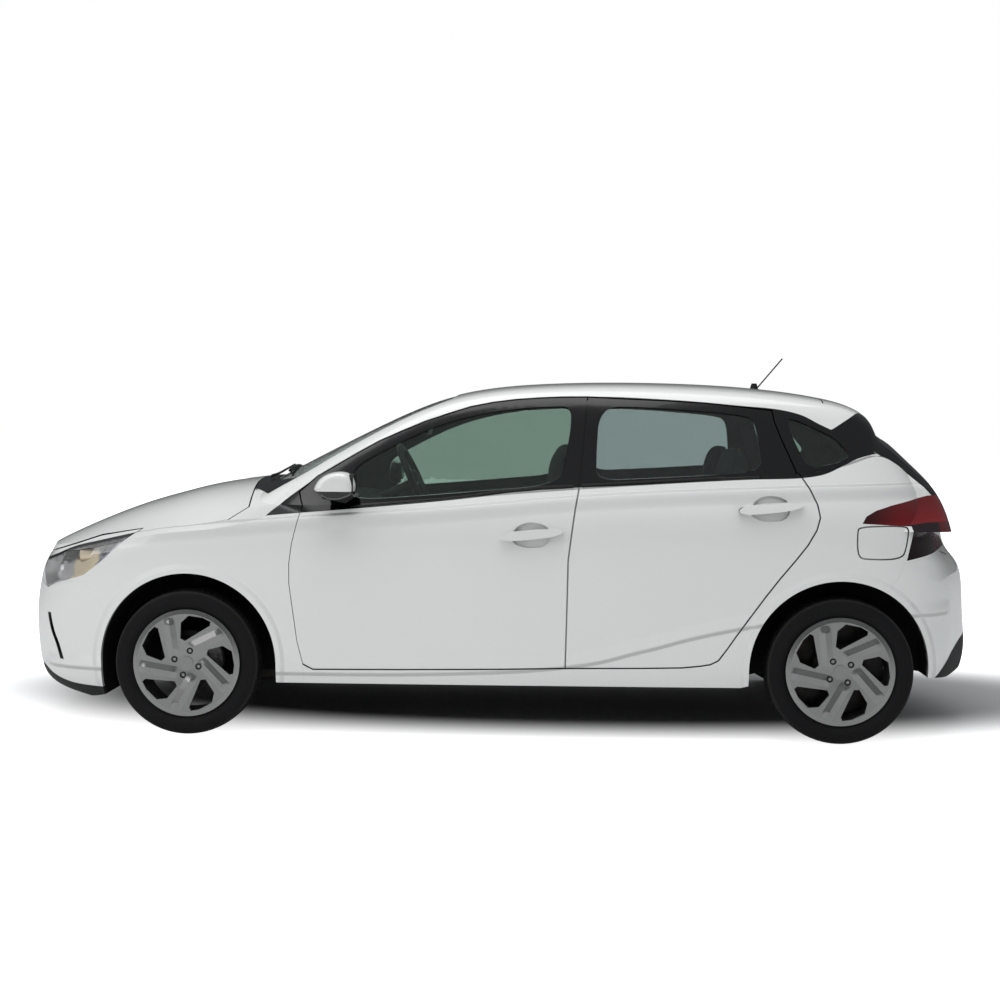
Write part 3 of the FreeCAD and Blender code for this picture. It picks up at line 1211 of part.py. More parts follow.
HALF_TURN = Rotation(UP, HALF_CIRCLE)
wheel("front_left", FRONT_AXLE_TEXT, "-", Rotation(), FRONT_BOSS)
wheel("front_right", FRONT_AXLE_TEXT, "", HALF_TURN, FRONT_BOSS)
REAR_TURN = Rotation(ACROSS, -size("rear_wheel_turn"))
wheel("rear_left", REAR_AXLE_TEXT, "-", REAR_TURN, REAR_BOSS)
wheel("rear_right", REAR_AXLE_TEXT, "", HALF_TURN.multiply(REAR_TURN), REAR_BOSS)

# Front hub carriers; each turns about its upright steering axis.
PIN_LENGTH = "Sizes.tyre_radius - Sizes.subframe_base - Sizes.arm_height - Sizes.hub_play"
for sign, name in ((-1, "left"), (1, "right")):
    king = "%d * Sizes.steer_axis" % sign
    carrier = rod("carrier_" + name, "Sizes.carrier_radius", "Sizes.carrier_depth",
                  (FRONT_AXLE_TEXT, king + " - Sizes.carrier_depth / 2", "Sizes.tyre_radius"), LIE_ACROSS)
    pin = rod("kingpin_" + name, "Sizes.kingpin_radius", PIN_LENGTH,
              (FRONT_AXLE_TEXT, king, "Sizes.subframe_base + Sizes.arm_height + Sizes.hub_play"))
    reach = " - Sizes.bracket_reach" if sign > 0 else ""
    bracket = cuboid("bracket_" + name, "Sizes.bracket_length", "Sizes.bracket_reach", "Sizes.bracket_height",
                     (FRONT_AXLE_TEXT + " - Sizes.bracket_length / 2", king + reach, "Sizes.tyre_radius + Sizes.bracket_rise"))
    joined("knuckle_" + name, [carrier, pin, bracket])

# Door mirrors and handles.
MIRROR_SHARES = ((0.205, 0.690), (0.210, 0.717), (0.229, 0.737), (0.254, 0.737), (0.262, 0.719), (0.265, 0.688), (0.257, 0.668),
                 (0.222, 0.655))
# Rows of the mirror shell from its outer tip to its root: reach, then the outline's scale.
MIRROR_ROW_SHARES = ((1.0, 0.35), (1.0, 0.80), (0.90, 1.02), (0.60, 1.08), (0.25, 1.02), (0.06, 0.85), (0.0, 0.50))
MIRROR_ROOT_SHARE = 0.975
STALK_ROOT_SHARE = 0.80
STALK_SHARES = ((0.214, 0.664), (0.214, 0.690), (0.252, 0.690), (0.262, 0.668), (0.250, 0.652))
outline = side_outline(MIRROR_SHARES)
centre_u = sum(u for u, v in outline) / len(outline)
centre_v = sum(v for u, v in outline) / len(outline)
mirror_root = wide(MIRROR_ROOT_SHARE)
mirror_tip = HALF_WIDTH + size("mirror_reach") - mirror_root
mirror_net = []
for reach, scale in MIRROR_ROW_SHARES:
    row = [Vector(centre_u + (u - centre_u) * scale, -mirror_root - reach * mirror_tip, centre_v + (v - centre_v) * scale)
           for u, v in outline]
    mirror_net.append(row + row[:1])
stalk = prism(side_outline(STALK_SHARES), -mirror_root - mirror_tip / 2, -wide(STALK_ROOT_SHARE), ACROSS)
mirror_shell = solids_of(closed_solid(mirror_net).fuse(stalk).cut(OUTLINE))
panel("mirror_left", mirror_shell)
panel("mirror_right", mirrored(mirror_shell))

doc.recompute()
os.makedirs("parts", exist_ok=True)
for piece in doc.Objects:
    if "Invalid" in piece.State or "Error" in piece.State:
        raise RuntimeError("does not build: " + piece.Name)
for piece in PIECES:
    shape = piece.Shape
    if shape.isNull() or not shape.isValid():
        raise RuntimeError("bad shape: " + piece.Label)
    shape.exportStep(os.path.join("parts", piece.Label + ".step"))
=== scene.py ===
# %% [markdown]
# # A small white hatchback
# The CAD model gives every panel its true shape and place. This lesson adds what the CAD leaves out: paint, glass,
# rubber, lamps, trim and seats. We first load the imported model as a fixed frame. Nothing in it may be moved, so every
# new piece is measured from it, in metres, with X to the rear, Y to the right-hand side and Z up.

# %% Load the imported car
import json
import math
import bpy
import numpy as np
from mathutils import Matrix, Vector
from mathutils.bvhtree import BVHTree


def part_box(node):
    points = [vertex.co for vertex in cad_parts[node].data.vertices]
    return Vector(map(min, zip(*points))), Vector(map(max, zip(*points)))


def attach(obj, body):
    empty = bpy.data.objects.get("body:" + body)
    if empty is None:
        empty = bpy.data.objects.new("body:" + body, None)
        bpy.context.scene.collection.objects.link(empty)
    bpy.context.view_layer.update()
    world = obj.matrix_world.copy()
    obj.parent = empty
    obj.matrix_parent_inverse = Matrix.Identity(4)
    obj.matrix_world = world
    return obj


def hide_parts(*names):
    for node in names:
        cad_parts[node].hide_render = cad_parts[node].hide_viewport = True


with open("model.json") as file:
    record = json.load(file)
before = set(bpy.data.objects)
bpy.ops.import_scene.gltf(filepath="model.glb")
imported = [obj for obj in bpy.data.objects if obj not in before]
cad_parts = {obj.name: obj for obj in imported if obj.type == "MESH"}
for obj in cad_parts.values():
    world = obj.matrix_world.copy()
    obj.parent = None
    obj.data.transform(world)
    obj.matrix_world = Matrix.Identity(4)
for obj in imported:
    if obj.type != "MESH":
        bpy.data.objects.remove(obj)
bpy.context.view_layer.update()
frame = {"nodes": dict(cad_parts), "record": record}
scene = bpy.context.scene
nodes = frame["nodes"]
slots = {part["node"]: part["material_slot"] for part in frame["record"]["subparts"]}
print("CAD nodes:", len(nodes))

# %% [markdown]
# ## Driving dimensions
# A car is drawn from a few lengths: where the wheels stand, how wide the body is and how big the tyres are. We read
# them from the frame's own boxes, so the lesson follows the model if it grows or shrinks.

# %% Measure the frame
def centre_of(node):
    """The middle of a node's box."""
    low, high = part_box(node)
    return (low + high) / 2


def extent_of(node):
    """The size of a node's box."""
    low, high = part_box(node)
    return high - low


WHEELS = ("front_left", "front_right", "rear_left", "rear_right")
WHEEL_BODIES = dict(zip(WHEELS, ("wheel_fl", "wheel_fr", "wheel_rl", "wheel_rr")))
SIDES = (("left", -1.0), ("right", 1.0))
wheel_centre = {name: centre_of("tyre_" + name) for name in WHEELS}
TYRE_RADIUS = extent_of("tyre_front_left").z / 2
TYRE_WIDTH = extent_of("tyre_front_left").y
FRONT_AXLE = wheel_centre["front_left"].x
REAR_AXLE = wheel_centre["rear_left"].x
print("tyre radius %.3f m, wheel base %.3f m" % (TYRE_RADIUS, REAR_AXLE - FRONT_AXLE))

# %% [markdown]
# ## Lines drawn on the body
# Seen from the side, a few lines give this car its face: the belt line under the windows, the roof line over them, the
# crease at shoulder height and the one low on the rear door. Each is a short list of (x, z) points on the body. A mask
# in a shader can then ask of any point of the paint whether it lies above or below such a line.

# %% Side lines as (x, z) points in metres
BELT_LINE = ((-0.95, 0.880), (-0.879, 0.888), (-0.561, 0.916), (-0.199, 0.951), (0.160, 0.993), (0.515, 1.015),
             (0.976, 1.043), (1.205, 1.053), (1.357, 1.100), (1.484, 1.143), (1.60, 1.16))
WINDOW_TOP_LINE = ((-0.95, 0.830), (-0.911, 0.888), (-0.809, 0.976), (-0.578, 1.126), (-0.303, 1.257),
                   (-0.028, 1.336), (0.155, 1.355), (0.351, 1.362), (0.672, 1.352), (0.945, 1.331), (1.148, 1.310),
                   (1.288, 1.253), (1.437, 1.176), (1.60, 1.10))
SHOULDER_LINE = ((-1.60, 0.800), (-1.032, 0.850), (-0.777, 0.872), (-0.382, 0.900), (-0.068, 0.927), (0.311, 0.962),
                 (1.00, 1.000), (1.60, 1.020))
LOW_LINE = ((-0.90, 0.262), (-0.10, 0.275), (0.283, 0.305), (0.564, 0.368), (0.797, 0.431), (0.952, 0.464),
            (1.30, 0.520))
print("belt line from x %.2f to %.2f m" % (BELT_LINE[0][0], BELT_LINE[-1][0]))

# %% [markdown]
# ## Short calls for shader nodes
# A procedural material is a tree of nodes. Writing each link by hand hides the idea, so we make a small helper that
# adds a node, sets its plain values and links its inputs in one call, with a short name for each step of arithmetic.

# %% Add, link and reckon with nodes
class NodeTree:
    """Short calls for the nodes of any tree, of a material or of the world."""

    def __init__(self, tree):
        self.nodes = tree.nodes
        self.links = tree.links

    def add(self, kind, settings=None, **inputs):
        """Adds a node; inputs are plain values or sockets to link."""
        node = self.nodes.new(kind)
        for key, value in (settings or {}).items():
            setattr(node, key, value)
        for key, value in inputs.items():
            self.feed(node.inputs[key.replace("_", " ")], value)
        return node

    def feed(self, socket, value):
        """Sets or links one input socket."""
        if isinstance(value, bpy.types.NodeSocket):
            self.links.new(value, socket)
        else:
            socket.default_value = value

    def feed_all(self, node, *values):
        """Sets or links a node's first input sockets in their order and returns its first output."""
        for socket, value in zip(node.inputs, values):
            self.feed(socket, value)
        return node.outputs[0]

    def maths(self, operation, first, second=0.0):
        """One step of arithmetic."""
        return self.feed_all(self.add("ShaderNodeMath", {"operation": operation}), first, second)

    def times(self, first, second):
        """The first times the second."""
        return self.maths("MULTIPLY", first, second)

    def plus(self, first, second):
        """The first plus the second."""
        return self.maths("ADD", first, second)

    def minus(self, first, second):
        """The first minus the second."""
        return self.maths("SUBTRACT", first, second)

    def most(self, first, second):
        """The larger of the two."""
        return self.maths("MAXIMUM", first, second)

    def without_sign(self, value):
        """The value without its sign."""
        return self.maths("ABSOLUTE", value)

    def spread(self, value, low, high, start=0.0, end=1.0, kind="LINEAR"):
        """Carries the range from low to high over to the range from start to end."""
        node = self.add("ShaderNodeMapRange", {"interpolation_type": kind})
        return self.feed_all(node, value, low, high, start, end)

    def ramp(self, value, low, high, start=0.0, end=1.0):
        """A smooth step from start at low to end at high."""
        return self.spread(value, low, high, start, end, "SMOOTHSTEP")

    def between(self, value, low, low_full, high_full, high):
        """1 from low_full to high_full and 0 outside low and high: the product of two smooth steps."""
        return self.times(self.ramp(value, low, low_full), self.ramp(value, high, high_full))


print("node helper ready")

# %% [markdown]
# ## A material's own tree
# Everything in these materials reads Object coordinates. Every object here has its origin at the car's own origin, so
# a coordinate in the shader is a place on the car, in metres, and a pattern keeps its real size.

# %% Colours, numbers and relief on the car's coordinates
class Tree(NodeTree):
    """A material's node tree that starts at a place on the car and ends in the shader."""

    def __init__(self, name):
        self.material = bpy.data.materials.new(name)
        self.material.use_nodes = True
        super().__init__(self.material.node_tree)
        self.shader = self.nodes["Principled BSDF"]
        self.place = self.add("ShaderNodeTexCoord").outputs["Object"]
        split = self.add("ShaderNodeSeparateXYZ", Vector=self.place)
        self.x, self.y, self.z = split.outputs["X"], split.outputs["Y"], split.outputs["Z"]
        self.aside = self.without_sign(self.y)

    def noise(self, scale, detail=4.0, roughness=0.5):
        """Soft clouds of values round a half."""
        node = self.add("ShaderNodeTexNoise", Vector=self.place, Scale=scale, Detail=detail, Roughness=roughness)
        return node.outputs["Fac"]

    def bands(self, direction, scale):
        """Parallel waves across one axis."""
        node = self.add("ShaderNodeTexWave", {"wave_type": "BANDS", "bands_direction": direction}, Vector=self.place,
                        Scale=scale)
        return node.outputs["Fac"]

    def cells(self, scale):
        """Distance to the nearest point of a scatter: a pebbled pattern."""
        return self.add("ShaderNodeTexVoronoi", Vector=self.place, Scale=scale).outputs["Distance"]

    def mix(self, mask, first, second):
        """The first colour where the mask is 0 and the second where it is 1."""
        node = self.add("ShaderNodeMix", {"data_type": "RGBA"})
        self.feed(node.inputs["Factor"], mask)
        for socket, value in zip((node.inputs[6], node.inputs[7]), (first, second)):
            self.feed(socket, value if isinstance(value, bpy.types.NodeSocket) else (*value, 1.0))
        return node.outputs[2]

    def blend(self, mask, first, second):
        """A number that goes from the first to the second with the mask."""
        node = self.add("ShaderNodeMix", {"data_type": "FLOAT"})
        for number, given in ((0, mask), (2, first), (3, second)):
            self.feed(node.inputs[number], given)
        return node.outputs[0]

    def bump(self, height, distance, strength=1.0, under=None):
        """Turns a height between 0 and 1 into a relief of a real depth."""
        node = self.add("ShaderNodeBump", Height=height, Distance=distance, Strength=strength)
        if under is not None:
            self.feed(node.inputs["Normal"], under)
        return node.outputs["Normal"]

    def finish(self, **inputs):
        """Feeds the shader's own sockets and returns the material."""
        for key, value in inputs.items():
            self.feed(self.shader.inputs[key.replace("_", " ")], value)
        return self.material


print("material helper ready")

# %% [markdown]
# ## Asking where a point lies
# Two questions decide most masks on a car: is this point above a drawn line, and how far is it from an axle or a bulb?
# A float curve node answers the first. It holds the drawn line, and what it gives is compared with the point's height.

# %% Above a line, behind a line, away from an axis
CURVE_ROOM = 0.01


def level(tree, value, line, cornered=False):
    """The second coordinate of a drawn line where its first one is the value."""
    firsts = [point[0] for point in line]
    seconds = [point[1] for point in line]
    low, high = min(seconds) - CURVE_ROOM, max(seconds) + CURVE_ROOM
    curve = tree.add("ShaderNodeFloatCurve")
    track = curve.mapping.curves[0]
    for first, second in line[1:-1]:
        track.points.new((first - firsts[0]) / (firsts[-1] - firsts[0]), (second - low) / (high - low))
    track.points[0].location = (0.0, (seconds[0] - low) / (high - low))
    track.points[-1].location = (1.0, (seconds[-1] - low) / (high - low))
    for point in track.points:
        point.handle_type = "VECTOR" if cornered else "AUTO"
    curve.mapping.update()
    tree.feed(curve.inputs["Value"], tree.spread(value, firsts[0], firsts[-1]))
    return tree.plus(tree.times(curve.outputs[0], high - low), low)


def height_over(tree, line, cornered=False):
    """How far a point lies above a side line of (x, z) points."""
    return tree.minus(tree.z, level(tree, tree.x, line, cornered))


def distance_from(tree, first, second, centre):
    """The square root of a * a + b * b, with a and b the differences from the centre."""
    a = tree.minus(first, centre[0])
    b = tree.minus(second, centre[1])
    return tree.maths("SQRT", tree.plus(tree.times(a, a), tree.times(b, b)))


def circle_mask(tree, first, second, centre, radius, edge=0.0015):
    """1 inside a circle round an axis, measured in two coordinates."""
    return tree.ramp(distance_from(tree, first, second, centre), radius + edge, radius - edge)


print("masks ready")

# %% [markdown]
# ## Lines pressed into the steel
# The crease at the shoulder, the one low on the doors and the lips round the wheel arches are pressed into the steel
# and stand out by a few millimetres. The CAD skin is smooth there. A height that rises and falls across each line
# gives the light its edge without new faces.

# %% Creases and arch lips as one height
ARCH_LIP = 0.028
ARCH_RADIUS = 0.357
LIP_FADE = 0.012
LIP_SHARE = 0.6


def arch_band(tree, axle):
    """1 from a wheel arch's edge out to the lip's width."""
    radius = distance_from(tree, tree.x, tree.z, (axle, TYRE_RADIUS))
    return tree.ramp(radius, ARCH_RADIUS + ARCH_LIP + LIP_FADE, ARCH_RADIUS + ARCH_LIP - LIP_FADE)


def pressed_lines(tree):
    """Relief of the body sides: shoulder crease and low crease at full height, arch lips at their share."""
    crease = tree.between(height_over(tree, SHOULDER_LINE), -0.060, 0.0, 0.0, 0.012)
    ledge = tree.between(height_over(tree, LOW_LINE), -0.020, 0.0, 0.0, 0.050)
    lips = tree.most(arch_band(tree, FRONT_AXLE), arch_band(tree, REAR_AXLE))
    return tree.plus(tree.plus(crease, ledge), tree.times(lips, LIP_SHARE))


print("arch lip ends %.3f m from the axle" % (ARCH_RADIUS + ARCH_LIP))

# %% [markdown]
# ## Pearl white paint
# Car paint is a coloured base under a clear coat. The base gives the body its soft white, and the thin clear coat on
# top gives the sharp reflections, so we use the shader's Coat and keep the base fairly rough. Orange peel, the faint
# ripple of sprayed lacquer, is a fine bump. One recipe serves every panel: it may turn black where a mask says so, and
# it turns to grained lining on faces that look into the cabin, because a door is one solid with two sides.

# %% Body paint with its pressed lines
PAINT_WHITE = (0.78, 0.785, 0.765)
PAINT_SHADE = (0.73, 0.74, 0.72)
PEEL_DEPTH = 0.00004
PRESSED_DEPTH = 0.015
SIDE_STARTS = (0.62, 0.70)
COAT_ROUGHNESS = 0.03
GLOSS_BLACK = (0.003, 0.003, 0.0035)
GLOSS_ROUGHNESS = 0.16
MATT_ROUGHNESS = 0.7
BLACK_COAT = 0.2
CABIN_CENTRE = (0.3, 0.0, 0.85)
LINING_DARK = (0.008, 0.009, 0.009)
LINING_LIGHT = (0.018, 0.020, 0.020)


def inner_side(tree):
    """1 on faces that look into the cabin: there the normal points back along the way from the cabin's middle."""
    away = tree.add("ShaderNodeVectorMath", {"operation": "SUBTRACT"})
    facing = tree.add("ShaderNodeVectorMath", {"operation": "DOT_PRODUCT"})
    normal = tree.add("ShaderNodeTexCoord").outputs["Normal"]
    tree.feed_all(facing, tree.feed_all(away, tree.place, CABIN_CENTRE), normal)
    return tree.ramp(facing.outputs["Value"], -0.05, -0.25)


def body_paint(name, black_mask=None, lined=True, cabin_side=True, black_roughness=GLOSS_ROUGHNESS):
    """Pearl paint; where the mask is 1 it turns to black trim, and the cabin side to grained lining."""
    tree = Tree(name)
    cloud = tree.noise(2.2, 3.0)
    tone = tree.plus(tree.times(tree.noise(900.0, 2.0), 0.25), tree.times(cloud, 0.5))
    colour = tree.mix(tone, PAINT_WHITE, PAINT_SHADE)
    roughness = tree.plus(tree.times(cloud, 0.06), 0.30)
    relief = tree.bump(tree.noise(260.0, 1.0), PEEL_DEPTH)
    coat = 1.0
    if lined:
        side = tree.ramp(tree.aside, *SIDE_STARTS)
        relief = tree.bump(tree.times(pressed_lines(tree), side), PRESSED_DEPTH, 1.0, relief)
    if black_mask is not None:
        mask = black_mask(tree)
        colour = tree.mix(mask, colour, GLOSS_BLACK)
        roughness = tree.blend(mask, roughness, black_roughness)
        coat = tree.blend(mask, 1.0, BLACK_COAT if black_roughness < 0.5 else 0.0)
    if cabin_side:
        inside = inner_side(tree)
        colour = tree.mix(inside, colour, tree.mix(tree.noise(420.0, 3.0), LINING_DARK, LINING_LIGHT))
        roughness = tree.blend(inside, roughness, 0.8)
        coat = tree.blend(inside, coat, 0.0)
    return tree.finish(Base_Color=colour, Roughness=roughness, Normal=relief, Coat_Weight=coat,
                       Coat_Roughness=COAT_ROUGHNESS, Coat_IOR=1.5)


print("paint recipe ready")

# %% [markdown]
# ## Black trim round the windows
# The window frames, the sail triangles and the pillars are covered in gloss black, so the side windows look like one
# dark band. On the car these are separate foils and caps. In a shader they are one mask: above the belt line and below
# the window line. On a door everything above the belt is frame, so there the upper line isn't needed. Behind the rear
# pillar the band runs on as a black fin down the side of the back window.

# %% Masks of the window band and the rear fin
FIN_LOW_LINE = ((1.20, 1.230), (1.300, 1.205), (1.342, 1.170), (1.420, 1.128), (1.495, 1.148), (1.588, 1.093),
                (1.690, 1.010), (1.760, 0.930))
FIN_TOP_LINE = ((1.20, 1.200), (1.330, 1.238), (1.428, 1.300), (1.500, 1.318), (1.560, 1.320), (1.80, 1.320))
FIN_INNER_LINE = ((0.80, 0.465), (1.222, 0.468), (1.250, 0.492), (1.320, 0.590), (1.40, 0.66))


def above_belt(tree):
    """1 over the belt line."""
    return tree.ramp(height_over(tree, BELT_LINE), -0.006, -0.004)


def rear_fin(tree):
    """1 on the black fin each side of the back window: over the pillar's white top and under the spoiler."""
    above = tree.ramp(height_over(tree, FIN_LOW_LINE, True), 0.0, 0.002)
    below = tree.ramp(height_over(tree, FIN_TOP_LINE, True), 0.002, 0.0)
    outside = tree.ramp(tree.minus(tree.aside, level(tree, tree.z, FIN_INNER_LINE, True)), 0.0, 0.004)
    return tree.times(tree.times(above, below), outside)


def window_band(tree):
    """1 between the belt line and the window line, and on the fin."""
    under_top = tree.ramp(height_over(tree, WINDOW_TOP_LINE), 0.001, -0.001)
    return tree.most(tree.times(above_belt(tree), under_top), rear_fin(tree))


print("fin ends %.2f m behind the rear axle" % (FIN_LOW_LINE[-1][0] - REAR_AXLE))

# %% [markdown]
# ## Black parts of bumpers and mirrors
# The bumpers end in a matt black lip, and an upright slot is let into each front corner. The CAD has the slot as a
# real recess; its walls would be white without the mask. A mirror wears a painted cap on a black foot.

# %% Masks of lips, slots and mirror feet
FRONT_LIP_LINE = ((-2.00, 0.262), (-1.90, 0.250), (-1.82, 0.215), (-1.76, 0.196), (-1.70, 0.186), (-1.40, 0.180))
REAR_LIP_LINE = ((1.55, 0.20), (1.700, 0.232), (1.736, 0.257), (1.800, 0.322), (1.830, 0.352), (1.90, 0.385),
                 (2.00, 0.40))
SLOT_LINE = ((0.20, -1.740), (0.278, -1.768), (0.341, -1.789), (0.400, -1.8155), (0.472, -1.833), (0.50, -1.835))
SLOT_HALF = 0.0093
SLOT_FADE = 0.0005
CAP_FOOT = 0.983


def front_black(tree):
    """1 on the bumper's lower lip and in the upright slots at its corners."""
    lip = tree.ramp(height_over(tree, FRONT_LIP_LINE), 0.0, -0.003)
    off = tree.without_sign(tree.minus(tree.x, level(tree, tree.z, SLOT_LINE)))
    near = tree.ramp(off, SLOT_HALF + SLOT_FADE, SLOT_HALF - SLOT_FADE)
    return tree.most(lip, tree.times(near, tree.between(tree.z, 0.280, 0.284, 0.466, 0.470)))


def rear_black(tree):
    """1 on the rear bumper's lower lip."""
    return tree.ramp(height_over(tree, REAR_LIP_LINE), 0.0, -0.003)


def mirror_foot(tree):
    """1 on the black foot and lower shell under the painted cap."""
    foot = tree.ramp(tree.aside, 0.905, 0.895)
    return tree.most(foot, tree.ramp(tree.z, CAP_FOOT + 0.001, CAP_FOOT - 0.001))


print("slot is %.0f mm wide" % (2000 * SLOT_HALF))

# %% [markdown]
# ## One paint per kind of panel
# The same recipe now makes a paint for each kind of panel. They differ only in what is masked black, in whether the
# pressed lines run over them and in whether they have a cabin side.

# %% Mix the paints
paint_plain = body_paint("pearl_paint_plain", None, False)
paint_roof = body_paint("pearl_paint_roof", None, False)
paint_wings = body_paint("pearl_paint_wings", window_band, True, False)
paint_sides = body_paint("pearl_paint_sides", window_band)
paint_doors = body_paint("pearl_paint_doors", above_belt)
paint_tailgate = body_paint("pearl_paint_tailgate", rear_fin, False)
paint_front = body_paint("pearl_paint_front_bumper", front_black, True, False, MATT_ROUGHNESS)
paint_rear = body_paint("pearl_paint_rear_bumper", rear_black, True, False, MATT_ROUGHNESS)
paint_mirrors = body_paint("pearl_paint_mirrors", mirror_foot, False, False)
print("paints made")

# %% [markdown]
# ## Glass
# Car glass is tinted green in its mass and darker behind the front doors. A real pane is a thin solid with two faces,
# and so is the CAD node, which means plain transmission with a glass's index of refraction already bends and reflects
# light as it should. The tint is set for one face: light crosses two.

# %% Window glass
TINT_UNEVEN = 0.93


def pane(name, tint):
    """A tinted pane, a little uneven in its tint."""
    tree = Tree(name)
    tone = tree.mix(tree.noise(1.5, 2.0), tint, tuple(part * TINT_UNEVEN for part in tint))
    return tree.finish(Base_Color=tone, Roughness=0.0, Transmission_Weight=1.0, IOR=1.45)


glass_side = pane("tinted_front_door_glass", (0.40, 0.50, 0.45))
glass_rear = pane("tinted_rear_door_glass", (0.45, 0.52, 0.51))
glass_screen = pane("tinted_screen_glass", (0.62, 0.70, 0.66))
print("glass made")

# %% [markdown]
# ## Headlamp unit
# Behind the clear cover a headlamp is a dark bezel with bright bowls. The bowls are solids of the CAD unit, so their
# finish is a mask: polished metal inside a circle round each bulb's axis, amber towards the outer end, and a dark tip.
# Above the lamp's upper line the unit takes the body colour, so the visible lamp ends in a clean edge.

# %% Bezel, bowls and amber end
BOWLS = ((0.621, 0.663), (0.710, 0.706))
BOWL_RADIUS = 0.031
LAMP_TOP_LINE = ((-1.90, 0.675), (-1.795, 0.709), (-1.715, 0.741), (-1.616, 0.765), (-1.452, 0.803), (-1.40, 0.815))
BEZEL_DARK = (0.17, 0.17, 0.175)
BEZEL_LIGHT = (0.40, 0.39, 0.38)
BOWL_SILVER = (0.88, 0.89, 0.90)
AMBER = (0.52, 0.44, 0.30)
TIP_DARK = (0.14, 0.14, 0.165)


def lamp_unit():
    """Satin bezel with two polished bowls and an amber end."""
    tree = Tree("headlamp_bezel_and_bowls")
    bowls = tree.most(*(circle_mask(tree, tree.aside, tree.z, axis, BOWL_RADIUS) for axis in BOWLS))
    amber = tree.between(tree.x, -1.735, -1.715, -1.62, -1.60)
    outside = tree.ramp(height_over(tree, LAMP_TOP_LINE), 0.0, 0.002)
    colour = tree.mix(tree.noise(60.0, 3.0), BEZEL_DARK, BEZEL_LIGHT)
    for mask, tone in ((bowls, BOWL_SILVER), (amber, AMBER), (tree.ramp(tree.x, -1.615, -1.595), TIP_DARK),
                       (outside, PAINT_WHITE)):
        colour = tree.mix(mask, colour, tone)
    metal = tree.blend(outside, tree.blend(amber, 0.85, 0.45), 0.0)
    relief = tree.bump(tree.bands("Z", 60.0), 0.0004, 0.5)
    return tree.finish(Base_Color=colour, Metallic=metal, Roughness=tree.blend(bowls, 0.22, 0.08), Normal=relief)


bezel = lamp_unit()
print("headlamp bowls: 2 a side, %.0f mm across" % (2000 * BOWL_RADIUS))

# %% [markdown]
# ## Headlamp cover
# The cover is clear plastic with a black seal under its upper edge, where it meets the bonnet. Seal and body colour
# are opaque, so the same masks that colour them take the transmission away.

# %% Clear cover with its seal
COVER_CLEAR = (0.94, 0.95, 0.96)
SEAL_BLACK = (0.008, 0.008, 0.008)


def lamp_cover():
    """Clear cover; opaque on the seal's strip and above the lamp's upper line."""
    tree = Tree("headlamp_cover")
    over = height_over(tree, LAMP_TOP_LINE)
    seal = tree.between(over, -0.012, -0.010, 0.0, 0.002)
    outside = tree.ramp(over, 0.0, 0.002)
    tone = tree.mix(outside, tree.mix(seal, COVER_CLEAR, SEAL_BLACK), PAINT_WHITE)
    clear = tree.minus(1.0, tree.most(seal, outside))
    return tree.finish(Base_Color=tone, Roughness=0.02, Transmission_Weight=clear, IOR=1.5, Coat_Weight=0.5,
                       Coat_Roughness=0.0, Normal=tree.bump(tree.noise(8.0, 1.0), 0.0004))


cover = lamp_cover()
print("cover made")

# %% [markdown]
# ## Tail lamps
# A tail lamp is red plastic over fine ribs that scatter the light. The ribs are a relief of a third of a millimetre.
# The lower block is nearly black because its chambers are empty, and a brighter strip divides the two.

# %% Red lens and dark lower block
BLOCK_LINE = ((1.30, 0.862), (1.592, 0.866), (1.700, 0.878), (2.00, 0.885))
RED_FOOT = (0.15, 0.003, 0.005)
RED_TOP = (0.11, 0.002, 0.004)
RED_FRONT = (0.035, 0.003, 0.004)
RED_STRIP = (0.20, 0.006, 0.008)
BLOCK_DARK = (0.008, 0.002, 0.004)
BLOCK_RIM = (0.075, 0.002, 0.004)


def tail_lamp():
    """Red lens over fine ribs; the lower block is darker and one brighter strip divides them."""
    tree = Tree("red_lamp_lens")
    over = height_over(tree, BLOCK_LINE)
    strip = tree.between(over, -0.002, 0.0, 0.010, 0.012)
    colour = tree.mix(tree.ramp(over, 0.010, 0.090), RED_FOOT, RED_TOP)
    colour = tree.mix(tree.ramp(tree.x, 1.60, 1.44), colour, RED_FRONT)
    block = tree.mix(tree.ramp(tree.x, 1.725, 1.745), BLOCK_DARK, BLOCK_RIM)
    colour = tree.mix(tree.ramp(over, 0.0, -0.003), colour, block)
    colour = tree.mix(tree.times(strip, 0.35), colour, RED_STRIP)
    ribs = tree.plus(tree.times(tree.bands("Z", 90.0), 0.6), tree.times(tree.cells(110.0), 0.4))
    return tree.finish(Base_Color=colour, Roughness=0.18, Normal=tree.bump(ribs, 0.0003, 0.4), Coat_Weight=0.8,
                       Coat_Roughness=0.04, Coat_IOR=1.5, Specular_IOR_Level=0.3)


lamp_red = tail_lamp()
print("tail lamp made")

# %% [markdown]
# ## Plastics and metal
# Most of the rest is moulded or cast. Moulded black plastic has a leather-like grain, castings are rough, and
# underbody steel carries a film of road dirt that grows towards the ground. Each finish gets its own noise at the real
# scale of its grain.

# %% Moulded and cast finishes
ROAD_DUST = (0.035, 0.032, 0.028)


def moulded(name, dark, light, scale, roughness, depth):
    """Grained plastic: cells of a Voronoi pattern give the pebbled skin."""
    tree = Tree(name)
    pebble = tree.cells(scale)
    return tree.finish(Base_Color=tree.mix(tree.noise(scale * 0.05, 3.0), dark, light), Specular_IOR_Level=0.25,
                       Roughness=tree.plus(tree.times(pebble, 0.1), roughness), Normal=tree.bump(pebble, depth, 0.7))


